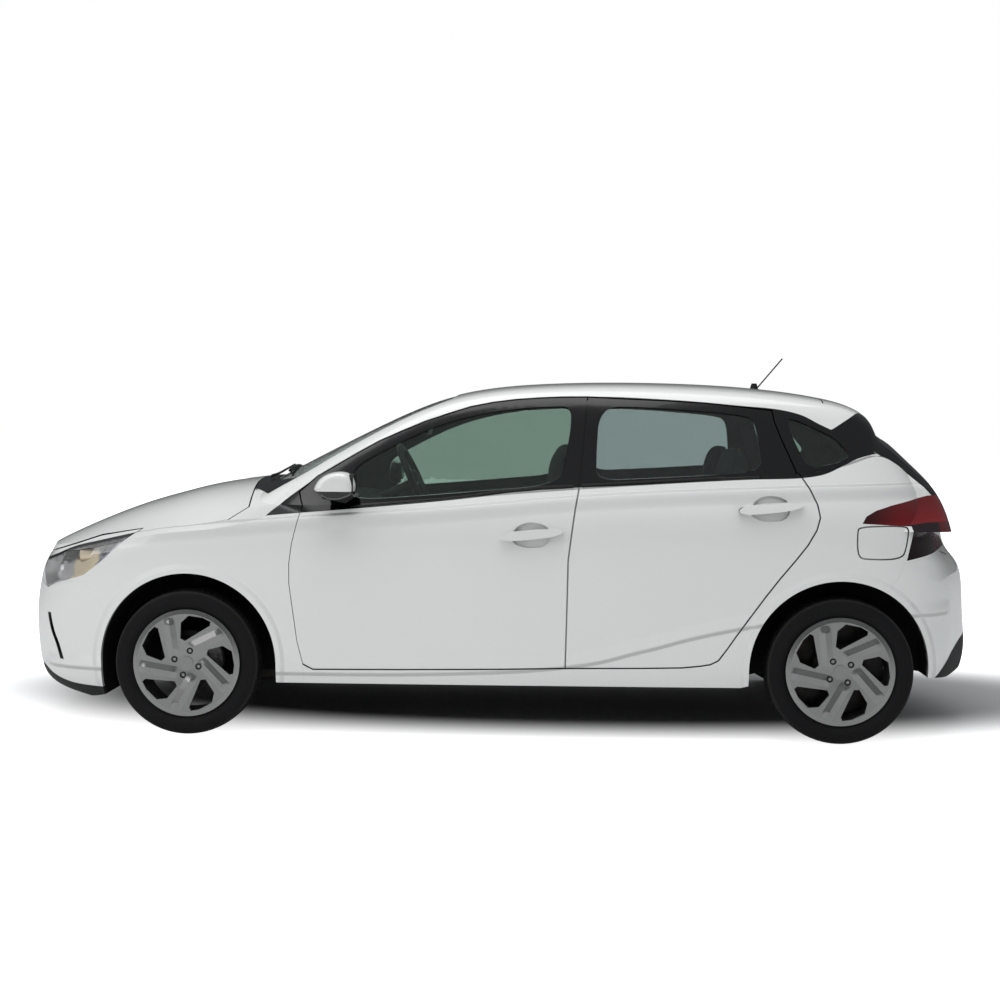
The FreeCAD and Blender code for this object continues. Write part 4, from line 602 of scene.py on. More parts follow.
def worn_metal(name, clean, dirt, metallic, roughness):
    """Metal under a film of road dirt that thickens towards the ground."""
    tree = Tree(name)
    film = tree.ramp(tree.times(tree.noise(14.0, 6.0, 0.65), tree.ramp(tree.z, 0.60, 0.12)), 0.15, 0.50)
    return tree.finish(Base_Color=tree.mix(film, clean, dirt), Metallic=tree.blend(film, metallic, 0.05),
                       Roughness=tree.blend(film, roughness, 0.9),
                       Normal=tree.bump(tree.noise(180.0, 4.0), 0.0006, 0.5))


trim_plastic = moulded("grained_black_plastic", (0.006, 0.006, 0.0065), (0.012, 0.012, 0.0125), 900.0, 0.42, 0.0002)
dash_plastic = moulded("soft_dashboard_skin", (0.010, 0.011, 0.011), (0.022, 0.024, 0.024), 600.0, 0.62, 0.0003)
liner_plastic = moulded("wheel_liner_felt", (0.004, 0.004, 0.004), (0.010, 0.010, 0.009), 300.0, 0.85, 0.0008)
carpet = moulded("cabin_carpet", (0.008, 0.008, 0.009), (0.018, 0.018, 0.019), 700.0, 0.92, 0.0015)
steel = worn_metal("underbody_steel", (0.035, 0.035, 0.037), ROAD_DUST, 0.4, 0.55)
casting = worn_metal("cast_aluminium", (0.42, 0.42, 0.43), ROAD_DUST, 0.9, 0.50)
print("plastics and metals made")

# %% [markdown]
# ## Scuttle
# The scuttle between bonnet and windscreen is black plastic. In the CAD it runs out to the sides under the wings'
# corners, and what lies below the side line there belongs to the wing and wears its paint.

# %% Black scuttle with painted corners
COWL_LINE = ((-1.12, 0.985), (-1.031, 0.980), (-0.985, 0.966), (-0.945, 0.958), (-0.900, 0.985), (-0.80, 1.040))


def cowl_finish():
    """Black scuttle plastic that turns to paint at its outer ends, below the side line."""
    tree = Tree("cowl_plastic")
    wing = tree.times(tree.ramp(height_over(tree, COWL_LINE, True), 0.0, -0.002), tree.ramp(tree.aside, 0.50, 0.55))
    black = tree.mix(tree.noise(45.0, 3.0), (0.006, 0.006, 0.0065), (0.012, 0.012, 0.0125))
    return tree.finish(Base_Color=tree.mix(wing, black, PAINT_WHITE), Roughness=0.4, Coat_Weight=wing,
                       Specular_IOR_Level=0.3)


cowl_plastic = cowl_finish()
print("scuttle finish made")

# %% [markdown]
# ## Folds of the wheel spokes
# Each spoke is folded along a slanted ridge, so one flank catches the light and the other doesn't. The CAD has the
# spokes and the openings between them; the fine fold is laid over them as a relief. Its height is a tent: 1 on the
# ridge line and 0 at the half width, worked out once for each spoke in the wheel's own plane.

# %% A tent of height along each ridge
SPOKES = 5
RIDGE_FOOT = Vector((0.029, 0.065))
RIDGE_TIP = Vector((0.114, 0.107))
FOLD_WIDTH = 0.024
FOLD_HEIGHT = 0.009


def spoke_folds(tree, centre, turn, side):
    """Height 0 to 1: for each spoke 1 - d / w, with d the distance from its ridge line and w the half width."""
    across = tree.times(tree.minus(tree.x, centre.x), -side)
    up = tree.minus(tree.z, centre.z)
    folds = 0.0
    for number in range(SPOKES):
        turned_by = Matrix.Rotation(turn + number * math.tau / SPOKES, 2)
        foot = turned_by @ RIDGE_FOOT
        ahead = turned_by @ (RIDGE_TIP - RIDGE_FOOT).normalized()
        right = tree.minus(across, foot.x)
        above = tree.minus(up, foot.y)
        along = tree.plus(tree.times(right, ahead.x), tree.times(above, ahead.y))
        off = tree.without_sign(tree.minus(tree.times(above, ahead.x), tree.times(right, ahead.y)))
        tent = tree.minus(1.0, tree.times(off, 1.0 / FOLD_WIDTH))
        folds = tree.most(tree.times(tent, tree.between(along, -0.030, 0.010, 0.100, 0.135)), folds)
    return folds


print("ridge is %.0f mm long" % (1000 * (RIDGE_TIP - RIDGE_FOOT).length))

# %% [markdown]
# ## Wheel paint and nuts
# The wheels are cast aluminium under silver lacquer: bright, slightly sparkling, with brake dust and painted shade deep
# in the openings. Each wheel nut sits in a round well that shows as a black ring. The wells are cut in the CAD, and
# their shade is painted: a mask by distance from each nut's own axis paints the well's wall black and leaves the nut
# bright.

# %% One wheel material per wheel, centred on its axle
NUTS = 4
NUT_CIRCLE = 0.050
NUT_RADIUS = 0.0056
WELL_RADIUS = 0.0132
FIRST_NUT = math.radians(-16.0)
REAR_WHEEL_TURN = math.radians(141.5)
SILVER_DARK = (0.23, 0.23, 0.225)
SILVER_LIGHT = (0.32, 0.32, 0.315)
BRAKE_DUST_AND_SHADE = (0.10, 0.095, 0.09)
WELL_PAINTED_SHADE = (0.010, 0.010, 0.010)


def wheel_silver(name):
    """Silver lacquer with painted shade in the nut wells and deep in the openings, read in the wheel's own plane."""
    tree = Tree("wheel_silver_" + name)
    centre = wheel_centre[name]
    turn = REAR_WHEEL_TURN if name.startswith("rear") else 0.0
    side = -1.0 if name.endswith("left") else 1.0
    wells = 0.0
    nuts = 0.0
    for number in range(NUTS):
        angle = FIRST_NUT + turn + number * math.tau / NUTS
        axis = (centre.x - side * NUT_CIRCLE * math.cos(angle), centre.z + NUT_CIRCLE * math.sin(angle))
        wells = tree.most(circle_mask(tree, tree.x, tree.z, axis, WELL_RADIUS, 0.0006), wells)
        nuts = tree.most(circle_mask(tree, tree.x, tree.z, axis, NUT_RADIUS, 0.0004), nuts)
    # Painted shade: the wall of each nut well, between the nut and the well's edge, turns black and loses its metal.
    ring = tree.minus(wells, nuts)
    # Brake dust and painted shade: the lacquer darkens deeper behind the wheel's face, in the openings and the barrel.
    dust = tree.ramp(tree.minus(tree.aside, abs(centre.y)), 0.070, 0.030)
    colour = tree.mix(tree.noise(1400.0, 2.0), SILVER_DARK, SILVER_LIGHT)
    colour = tree.mix(tree.times(dust, 0.7), colour, BRAKE_DUST_AND_SHADE)
    folds = tree.bump(spoke_folds(tree, centre, turn, side), FOLD_HEIGHT)
    return tree.finish(Base_Color=tree.mix(ring, colour, WELL_PAINTED_SHADE), Metallic=tree.blend(ring, 0.92, 0.0),
                       Roughness=tree.blend(dust, 0.27, 0.6), Normal=folds, Coat_Weight=0.3, Coat_Roughness=0.05)


wheel_paint = {name: wheel_silver(name) for name in WHEELS}
print("wheel finishes:", len(wheel_paint))

# %% [markdown]
# ## Putting the finishes on the CAD nodes
# Each node keeps its mesh, and only its material is set: most by the slot named in the record, and the panels that
# carry a mask by their own name. Two tables hold this, so a finish is changed in one place.

# %% Assign materials by slot and by name
by_slot = {"paint_white": paint_plain, "glass_tinted": glass_side, "glass_clear": glass_screen, "lamp_clear": cover,
           "lamp_red": lamp_red, "plastic_black": trim_plastic, "plastic_grey": dash_plastic, "steel_dark": steel,
           "aluminium_cast": casting, "wheel_silver": wheel_paint["front_left"], "rubber_tyre": liner_plastic,
           "fabric_seat": carpet, "floor_dark": carpet, "lamp_bowl": bezel}
by_name = {"front_wings": paint_wings, "tailgate": paint_tailgate, "front_bumper": paint_front,
           "rear_bumper": paint_rear, "roof": paint_roof, "windscreen": glass_screen, "cowl": cowl_plastic,
           "wheel_housings": liner_plastic, "front_struts": liner_plastic}
for side_name, side in SIDES:
    by_name.update({"body_side_" + side_name: paint_sides, "mirror_" + side_name: paint_mirrors,
                    "front_door_" + side_name: paint_doors, "rear_door_" + side_name: paint_doors,
                    "rear_door_glass_" + side_name: glass_rear})
for name in WHEELS:
    by_name["wheel_" + name] = wheel_paint[name]


def dress(thing, finish):
    """Gives an object one material."""
    thing.data.materials.clear()
    thing.data.materials.append(finish)


for name, node in nodes.items():
    dress(node, by_name.get(name) or by_slot[slots[name]])
print("dressed nodes:", len(nodes), "slots:", sorted(set(slots.values())))

# %% [markdown]
# ## Making surfaces with numpy
# Every new piece below is a grid of points: a function of two parameters gives the place of each point, numpy works
# out the whole grid at once, and the faces follow from the grid's own numbering. A grid can close on itself in one
# direction, like a ring, and its ends can be capped. This one helper makes all of them. Curved faces are shaded
# smooth, and an edge stays sharp where two faces meet at more than a given angle.

# %% From a grid of points to a Blender object
WELD = 0.00002


def finish_piece(piece, body, finish, sharp_from):
    """Turns the faces outwards, shades the piece, gives it its finish and lets it ride on a body."""
    bpy.ops.object.select_all(action="DESELECT")
    bpy.context.view_layer.objects.active = piece
    piece.select_set(True)
    bpy.ops.object.mode_set(mode="EDIT")
    bpy.ops.mesh.select_all(action="SELECT")
    bpy.ops.mesh.remove_doubles(threshold=WELD)
    bpy.ops.mesh.normals_make_consistent(inside=False)
    bpy.ops.object.mode_set(mode="OBJECT")
    piece.data.shade_smooth()
    piece.data.set_sharp_from_angle(angle=math.radians(sharp_from))
    dress(piece, finish)
    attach(piece, body)
    return piece


def grid_piece(name, points, body, finish, round_u=False, round_v=True, caps=False, sharp_from=35.0):
    """Joins a (rows, columns, 3) grid into a mesh: face (i, j) links rows i, i+1 and columns j, j+1."""
    rows, columns = points.shape[:2]
    number = np.arange(rows * columns).reshape(rows, columns)
    if round_u:
        number = np.vstack([number, number[:1]])
    if round_v:
        number = np.hstack([number, number[:, :1]])
    quads = np.stack([number[:-1, :-1], number[:-1, 1:], number[1:, 1:], number[1:, :-1]], -1)
    faces = quads.reshape(-1, 4).tolist()
    if caps:
        faces += [number[0, :columns].tolist(), number[rows - 1, :columns][::-1].tolist()]
    mesh = bpy.data.meshes.new(name)
    mesh.from_pydata(points.reshape(-1, 3).tolist(), [], faces)
    mesh.validate()
    piece = bpy.data.objects.new(name, mesh)
    scene.collection.objects.link(piece)
    return finish_piece(piece, body, finish, sharp_from)


print("grid helper ready")

# %% [markdown]
# ## Rings, strips and bars
# Most trim is one of three shapes. A tyre or a brake disc is a ring: a profile carried round an axle. A moulding is a
# strip: a section carried along a path, with its back on the surface. A post is a round bar. A smooth path through a
# few points serves all of them.

# %% Four ways to lay out a grid
def turned(profile, centre, count, side=1.0, wave=None):
    """A ring: each (radius, depth) of the profile goes round the wheel's axle at angles 0 to 360 degrees."""
    profile = np.asarray(profile, float)
    angle = np.linspace(0.0, math.tau, count, endpoint=False)[:, None]
    across, depth = profile[None, :, 0], profile[None, :, 1]
    radius = across + (0.0 if wave is None else wave(angle, across, depth))
    x = centre.x + radius * np.cos(angle)
    z = centre.z + radius * np.sin(angle)
    y = centre.y + side * np.broadcast_to(depth, x.shape)
    return np.stack([x, y, z], -1)


def swept(path, profile, normals):
    """A strip: the profile's (a, b) is laid at each path point along the sideways vector and the normal there."""
    path = np.asarray(path, float)
    profile = np.asarray(profile, float)
    ahead = np.gradient(path, axis=0)
    ahead /= np.linalg.norm(ahead, axis=1, keepdims=True)
    normals = np.asarray(normals, float)
    normals = normals - (normals * ahead).sum(1, keepdims=True) * ahead
    normals /= np.linalg.norm(normals, axis=1, keepdims=True)
    sideways = np.cross(ahead, normals)
    return (path[:, None, :] + profile[None, :, :1] * sideways[:, None, :]
            + profile[None, :, 1:2] * normals[:, None, :])


def tube(path, radius, count=12):
    """A round bar: a circle of points swept along the path, upright to a fixed slanted hint."""
    angle = np.linspace(0.0, math.tau, count, endpoint=False)
    ring = np.stack([np.cos(angle), np.sin(angle)], 1) * radius
    hint = np.tile(np.array([[0.31, 0.62, 0.72]]), (len(path), 1))
    return swept(path, ring, hint)


def smooth_path(points, count):
    """A Catmull-Rom curve through a few points: each span is a cubic of its four nearest points."""
    points = np.asarray(points, float)
    padded = np.vstack([2 * points[0] - points[1], points, 2 * points[-1] - points[-2]])
    place = np.linspace(0.0, len(points) - 1.0, count)
    span = np.minimum(place.astype(int), len(points) - 2)
    t = (place - span)[:, None]
    a, b, c, d = (padded[span + k] for k in range(4))
    return 0.5 * (2 * b + (c - a) * t + (2 * a - 5 * b + 4 * c - d) * t ** 2 + (3 * b - a - 3 * c + d) * t ** 3)


print("surface helpers ready")

# %% [markdown]
# ## Tyre profile
# A tyre is a turned ring: one profile from bead to bead, carried round the axle. The side wall bulges a little beyond
# the tread and its points are given as shares of the tyre's width and height, so they fit any size. The crown stays
# at the CAD tyre's radius, so the car still stands on the ground.

# %% Tyre profile from bead to bead
BEAD_RADIUS = 0.206
WALL_SHARES = ((0.405, 0.0), (0.42, 0.12), (0.465, 0.26), (0.497, 0.42), (0.496, 0.60), (0.482, 0.76), (0.462, 0.86),
               (0.435, 0.925))
CROWN_SHARE = 0.425
CROWN_DROP = 0.0062
RIM_SHARE = 0.375


def tyre_profile():
    """Radii and depths from bead to bead: the side wall's points, then an even crown between the shoulders."""
    shares = smooth_path(WALL_SHARES, 26)
    wall = np.stack([BEAD_RADIUS + shares[:, 1] * (TYRE_RADIUS - BEAD_RADIUS), shares[:, 0] * TYRE_WIDTH], 1)
    across = np.linspace(1.0, -1.0, 76) * CROWN_SHARE * TYRE_WIDTH
    drop = CROWN_DROP * np.abs(across / (CROWN_SHARE * TYRE_WIDTH)) ** 3
    crown = np.stack([TYRE_RADIUS - drop, across], 1)
    other = wall[::-1] * np.array([1.0, -1.0])
    inner = np.array([[BEAD_RADIUS, share * TYRE_WIDTH] for share in (-RIM_SHARE, 0.0, RIM_SHARE)])
    return np.vstack([wall, crown, other, inner])


print("tyre profile points:", len(tyre_profile()))

# %% [markdown]
# ## Road tread
# Tread grooves are only a change of radius: three grooves run round the tyre, and slanting sipes cross the ribs
# between them. Cutting them out as solids would be slow. So the tread is written as a wave that is subtracted from
# the profile's radius, and it costs nothing but a finer grid.

# %% Tread as a wave on the radius
GROOVES = (-0.042, 0.0, 0.042)
GROOVE_HALF = 0.0042
GROOVE_WALL = 0.0012
GROOVE_DEPTH = 0.0065
SIPE_COUNT = 68
SIPE_SLANT = 14.0
SIPE_DEPTH = 0.0045
RIB_START = 0.012
TREAD_HALF = 0.074
CROWN_FOOT = BEAD_RADIUS + 0.9 * (TYRE_RADIUS - BEAD_RADIUS)
STEPS_PER_SIPE = 8


def tread_wave(angle, radius, across):
    """Minus the tread's depth: round grooves at fixed places, and slanted sipes that repeat round the tyre."""
    off = np.abs(across[..., None] - np.array(GROOVES)).min(-1)
    groove = np.clip((GROOVE_HALF - off) / GROOVE_WALL, 0.0, 1.0)
    phase = angle * SIPE_COUNT / math.tau + np.abs(across) * SIPE_SLANT
    sipe = np.clip((0.13 - np.abs(phase - np.round(phase))) / 0.05, 0.0, 1.0)
    crown = radius > CROWN_FOOT
    on_rib = crown & (np.abs(across) < TREAD_HALF) & (np.abs(across) > RIB_START)
    return -(groove * crown * GROOVE_DEPTH + (1.0 - groove) * sipe * on_rib * SIPE_DEPTH)


print("sipe every %.0f mm" % (1000 * math.tau * TYRE_RADIUS / SIPE_COUNT))

# %% [markdown]
# ## Tyre rubber
# Rubber is nearly black and dull, with pale dust low in the tread and fine raised rings on the side wall. The rings
# are a sine of the distance from the axle, kept to the wall by a mask.

# %% Rubber, and the four tyres
RUBBER_DARK = (0.003, 0.003, 0.0035)
RUBBER_LIGHT = (0.007, 0.007, 0.008)
TREAD_DUST = (0.030, 0.028, 0.025)


def rubber(name):
    """Dull rubber with raised rings on the side wall and pale dust in the tread."""
    tree = Tree("tyre_rubber_" + name)
    radius = distance_from(tree, tree.x, tree.z, (wheel_centre[name].x, wheel_centre[name].z))
    rings = tree.times(tree.maths("SINE", tree.times(radius, 900.0)), tree.between(radius, 0.222, 0.226, 0.268, 0.272))
    relief = tree.bump(tree.noise(700.0, 3.0), 0.0002, 0.6, tree.bump(rings, 0.0006, 0.6))
    dust = tree.between(radius, 0.276, 0.280, 0.283, 0.288)
    cloud = tree.noise(9.0, 5.0, 0.6)
    colour = tree.mix(tree.times(dust, 0.5), tree.mix(cloud, RUBBER_DARK, RUBBER_LIGHT), TREAD_DUST)
    return tree.finish(Base_Color=colour, Roughness=tree.blend(cloud, 0.62, 0.80), Normal=relief,
                       Specular_IOR_Level=0.2)


for name in WHEELS:
    ring = turned(tyre_profile(), wheel_centre[name], SIPE_COUNT * STEPS_PER_SIPE, 1.0, tread_wave)
    tyre = grid_piece("tyre_tread_" + name, ring, WHEEL_BODIES[name], rubber(name), True, True, False, 30.0)
    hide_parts("tyre_" + name)
print("tyres:", len(WHEELS), "faces each:", len(tyre.data.polygons))

# %% [markdown]
# ## Brakes behind the spokes
# Through the openings of the wheels one sees the brakes. In front there is a vented disc with a caliper over its front
# edge; at the rear there is a plain drum in front of a wide splash plate, which also closes the view through the
# wheel. Their iron is painted near black, a painted shade for the dark space behind the spokes, and the wide plate
# stands in for that shade as well. Disc, drum and plate are turned rings like the tyre and turn with the wheel.

# %% Discs and drums
DISC_RADIUS = 0.122
DISC_THICKNESS = 0.020
DISC_DEPTH = -0.012
DRUM_RADIUS = 0.105
SHIELD_RADIUS = 0.186
INWARDS = {"front_left": 1.0, "front_right": -1.0, "rear_left": 1.0, "rear_right": -1.0}


def brake_metal(name, clean, rust):
    """Bare iron, bright where the pads rub and brown elsewhere."""
    tree = Tree(name)
    patch = tree.ramp(tree.noise(30.0, 5.0, 0.6), 0.35, 0.65)
    relief = tree.bump(tree.noise(260.0, 3.0), 0.0003, 0.5)
    return tree.finish(Base_Color=tree.mix(patch, clean, rust), Metallic=0.85, Roughness=0.42, Normal=relief)


def disc_profile():
    """Rim, two rubbing faces and the raised hat, as radii and depths."""
    back = DISC_DEPTH + DISC_THICKNESS
    return ((0.034, DISC_DEPTH - 0.020), (0.066, DISC_DEPTH - 0.020), (0.070, DISC_DEPTH - 0.016), (0.072, DISC_DEPTH),
            (DISC_RADIUS - 0.001, DISC_DEPTH), (DISC_RADIUS, DISC_DEPTH + 0.001), (DISC_RADIUS, DISC_DEPTH + 0.007),
            (DISC_RADIUS - 0.006, DISC_DEPTH + 0.008), (DISC_RADIUS - 0.006, back - 0.008),
            (DISC_RADIUS, back - 0.007), (DISC_RADIUS, back - 0.001), (DISC_RADIUS - 0.001, back), (0.072, back),
            (0.034, back))


def drum_profile():
    """Face with a step, outer wall with a cooling rib, and the wide plate behind that keeps the splashes out."""
    return ((0.034, -0.022), (0.074, -0.022), (0.078, -0.018), (DRUM_RADIUS - 0.004, -0.014), (DRUM_RADIUS, -0.010),
            (DRUM_RADIUS, 0.004), (DRUM_RADIUS + 0.004, 0.006), (DRUM_RADIUS + 0.004, 0.010), (DRUM_RADIUS, 0.012),
            (DRUM_RADIUS, 0.026), (SHIELD_RADIUS - 0.002, 0.026), (SHIELD_RADIUS, 0.028),
            (SHIELD_RADIUS - 0.002, 0.030), (0.034, 0.030))


# Painted shade: both irons are near black for the dark space behind the spokes; the noise patches between the two tones
# are rust.
disc_iron_in_painted_shade = brake_metal("brake_disc_painted_shade", (0.030, 0.030, 0.030), (0.016, 0.014, 0.013))
drum_iron_in_painted_shade = brake_metal("brake_drum_painted_shade", (0.030, 0.029, 0.028), (0.020, 0.016, 0.014))
for name in WHEELS:
    front = name.startswith("front")
    ring = turned(disc_profile() if front else drum_profile(), wheel_centre[name], 96, INWARDS[name])
    grid_piece("brake_" + name, ring, WHEEL_BODIES[name], disc_iron_in_painted_shade if front else drum_iron_in_painted_shade, True, True, False, 25.0)
print("brakes: 2 discs, 2 drums")

# %% [markdown]
# ## Brake calipers
# The caliper is a cast block that bends round the disc like a bridge. It belongs to the hub carrier, which steers but
# doesn't turn. Its section is carried along a bow round the axle, a little thinner at both ends.

# %% Calipers on the hub carriers
CALIPER_PROFILE = ((-0.019, 0.078), (-0.023, 0.084), (-0.023, 0.122), (-0.019, 0.132), (0.019, 0.132), (0.030, 0.126),
                   (0.034, 0.112), (0.034, 0.082), (0.030, 0.076), (0.013, 0.076), (0.011, 0.080), (0.011, 0.1245),
                   (-0.0145, 0.1245), (-0.0145, 0.080))
CALIPER_BOW = (150.0, 212.0)
CALIPER_ROWS = 15
CALIPER_MIDDLE = 0.104
CALIPER_TAPER = 0.06


def caliper_grid(name):
    """The (depth, radius) section carried round the axle; radii shrink to their middle by a fourth power."""
    depth, radius = np.array(CALIPER_PROFILE).T[:, None, :]
    angle = np.radians(np.linspace(*CALIPER_BOW, CALIPER_ROWS))[:, None]
    taper = 1.0 - CALIPER_TAPER * np.abs(np.linspace(-1.0, 1.0, CALIPER_ROWS))[:, None] ** 4
    radius = CALIPER_MIDDLE + (radius - CALIPER_MIDDLE) * taper
    centre = wheel_centre[name]
    y = np.broadcast_to(centre.y + INWARDS[name] * depth, radius.shape)
    return np.stack([centre.x - radius * np.cos(angle), y, centre.z + radius * np.sin(angle)], -1)


for side_name, side in SIDES:
    grid_piece("brake_caliper_" + side_name, caliper_grid("front_" + side_name), "knuckle_" + side_name[0], casting,
               False, True, True, 25.0)
print("calipers: 2, over %.0f degrees" % (CALIPER_BOW[1] - CALIPER_BOW[0]))

# %% [markdown]
# ## Finding the skin
# Trim follows the body. To lay a strip on a door we must know how far out the door's skin is at each point of the
# strip. A ray shot sideways at the panel's own mesh gives that place and the direction the skin faces there.

# %% Rays onto a panel
def skin_finder(*names):
    """A search tree over the triangles of some nodes' meshes."""
    points = []
    faces = []
    for name in names:
        mesh = nodes[name].data
        mesh.calc_loop_triangles()
        places = np.empty(3 * len(mesh.vertices), np.float32)
        corners = np.empty(3 * len(mesh.loop_triangles), np.int32)
        mesh.vertices.foreach_get("co", places)
        mesh.loop_triangles.foreach_get("vertices", corners)
        faces += (corners.reshape(-1, 3) + len(points)).tolist()
        points += places.reshape(-1, 3).tolist()
    return BVHTree.FromPolygons(points, faces)


def on_skin(finder, starts, way, lift):
    """Where rays shot one way meet the skin, moved back by a lift along its normals; and these normals."""
    places = []
    normals = []
    for start in starts:
        hit, normal, _, _ = finder.ray_cast(Vector(start), way)
        if hit is None:
            continue
        if normal.dot(way) > 0:
            normal = -normal
        places.append(hit + normal * lift)
        normals.append(normal)
    return np.array(places), np.array(normals)


def on_side(finder, path, side, lift):
    """Rays at (x, z) points, shot inwards from the left (-1) or the right (1)."""
    return on_skin(finder, [(x, side * 1.3, z) for x, z in path], Vector((0.0, -side, 0.0)), lift)


def from_above(finder, path, lift):
    """Rays at (x, y) points, shot down."""
    return on_skin(finder, [(x, y, 1.8) for x, y in path], Vector((0.0, 0.0, -1.0)), lift)


print("skin finder ready")

# %% [markdown]
# ## Belt mouldings
# A thin black rubber lip wipes each door glass where it drops into the door. It runs along the belt line from the sail
# triangle to the rear corner, in one piece per door. Its section is a small bead, laid along the path that the rays
# found on the door skin.

# %% A bead along the foot of each side window
BEAD = ((-0.0075, -0.004), (-0.0085, -0.001), (-0.0065, 0.0028), (-0.002, 0.0042), (0.004, 0.0036), (0.0075, 0.0012),
        (0.0075, -0.004))
BEAD_RAISE = 0.002
SPANS = {"front_door": (-0.585, 0.297), "rear_door": (0.313, 1.030)}
rubber_lip = moulded("window_lip_rubber", (0.010, 0.010, 0.010), (0.020, 0.020, 0.020), 800.0, 0.55, 0.0001)


def line_height(line, x):
    """The height of a side line at some x, straight between its points."""
    xs, zs = np.array(line).T
    return np.interp(x, xs, zs)


for kind, (start, end) in SPANS.items():
    for side_name, side in SIDES:
        xs = np.linspace(start, end, 41)
        path = np.stack([xs, line_height(BELT_LINE, xs) + BEAD_RAISE], 1)
        door = kind + "_" + side_name
        places, normals = on_side(skin_finder(door), path, side, 0.0)
        strip = swept(places, BEAD, normals)
        grid_piece("belt_lip_" + door, strip, kind + "_" + side_name[0], rubber_lip, False, True, True, 40.0)
print("belt lips:", len(SPANS) * len(SIDES))

# %% [markdown]
# ## Wiper arms and blades
# Each arm is a tapered pressing that rises from its spindle; each blade is a rubber lip under a slim curved holder
# that lies on the glass. The path of a blade is laid on the glass with the same rays, so it bends as the glass does.
# The arm's path is smoothed, because its rays cross the step from the scuttle to the glass.

# %% How a wiper is made
ARM_SECTION = ((-0.009, 0.0), (-0.008, 0.006), (-0.003, 0.009), (0.003, 0.009), (0.008, 0.006), (0.009, 0.0))
BLADE_SECTION = ((-0.0012, -0.0105), (-0.0020, -0.004), (-0.0055, -0.001), (-0.0060, 0.004), (-0.002, 0.0075),
                 (0.002, 0.0075), (0.0060, 0.004), (0.0055, -0.001), (0.0020, -0.004), (0.0012, -0.0105))
BLADE_LIFT = 0.0118
BLADE_STEPS = 25
ARM_LIFT = 0.010
ARM_RISE = 0.008
ARM_STEPS = 16
ARM_WIDTHS = (1.35, 0.75)
wiper_black = moulded("wiper_arm_black", (0.010, 0.010, 0.010), (0.018, 0.018, 0.018), 500.0, 0.38, 0.0001)


def straight(first, last, count):
    """Points of a straight way: first * (1 - t) + last * t."""
    share = np.linspace(0.0, 1.0, count)[:, None]
    return np.array(first) * (1 - share) + np.array(last) * share


def wiper(name, blade_ends, spindle, body, finder, arm_finder, rays=from_above):
    """One blade on the glass, and its arm from the spindle to the blade's middle, smoothed and tapered."""
    flat = straight(*blade_ends, BLADE_STEPS)
    places, normals = rays(finder, flat, BLADE_LIFT)
    middle = BLADE_STEPS // 2
    blade = swept(places, BLADE_SECTION, normals)
    grid_piece(name + "_blade", blade, body, wiper_black, False, True, True, 40.0)
    path, leaning = rays(arm_finder, straight(spindle, flat[middle], ARM_STEPS), ARM_LIFT)
    for step in range(3):
        path[1:-1] = (path[:-2] + path[1:-1] + path[2:]) / 3
    path += leaning * np.linspace(0.0, ARM_RISE, len(path))[:, None]
    width = np.linspace(*ARM_WIDTHS, len(path))[:, None, None]
    arm = swept(path, ARM_SECTION, np.tile(normals[middle], (len(path), 1)))
    arm = path[:, None, :] + (arm - path[:, None, :]) * width
    grid_piece(name + "_arm", arm, body, wiper_black, False, True, True, 40.0)
    return places


print("blade lifts %.1f mm off the glass" % (1000 * BLADE_LIFT))

# %% [markdown]
# ## Front wipers
# Two arms sweep the windscreen. They rest low on the glass, one behind the other, with both spindles in the scuttle.
# The rays for the arms meet glass, scuttle or bonnet, whichever lies on top there.

# %% Two wipers on the windscreen
screen_skin = skin_finder("windscreen")
front_skin = skin_finder("windscreen", "cowl", "bonnet")
right_blade = wiper("wiper_right", ((-0.866, 0.530), (-0.950, -0.020)), (-0.985, 0.200), "car", screen_skin,
                    front_skin)
left_blade = wiper("wiper_left", ((-0.914, 0.045), (-0.886, -0.420)), (-0.985, -0.300), "car", screen_skin,
                   front_skin)
print("front wipers:", len(right_blade), len(left_blade))

# %% [markdown]
# ## Rear wiper
# The rear wiper pivots low on the tailgate and rests along the foot of the back window. The glass there stands almost
# upright, so the rays that find it come from behind instead of from above.

# %% Rear wiper on the tailgate
def from_behind(finder, path, lift):
    """Rays at (y, z) points, shot forwards."""
    return on_skin(finder, [(2.3, y, z) for y, z in path], Vector((-1.0, 0.0, 0.0)), lift)


gate_skin = skin_finder("tailgate", "tailgate_glass")
pane_skin = skin_finder("tailgate_glass")
rear_blade = wiper("rear_wiper", ((0.02, 1.030), (0.335, 1.045)), (0.02, 0.985), "tailgate_lid", pane_skin, gate_skin,
                   from_behind)
print("rear wiper at", np.round(rear_blade[0], 3))

# %% [markdown]
# ## Seat outline
# The CAD seat is a plain block of the right outline. We draw that outline again as a smooth closed curve, seen from
# the side, in shares of the seat's length and height. A few corners are enough, because a spline rounds them.

# %% Closed outlines of seat and head restraint
SEAT_OUTLINE = ((0.05, 0.0), (0.0, 0.20), (0.0, 0.36), (0.06, 0.43), (0.30, 0.43), (0.58, 0.38), (0.68, 0.40),
                (0.74, 0.55), (0.82, 0.80), (0.88, 0.97), (0.95, 1.01), (1.06, 1.0), (1.11, 0.94), (1.05, 0.60),
                (1.0, 0.30), (0.98, 0.0))
HEAD_OUTLINE = ((0.91, 0.96), (0.87, 1.06), (0.88, 1.18), (0.93, 1.27), (1.02, 1.28), (1.08, 1.20), (1.07, 1.06),
                (1.03, 0.96))


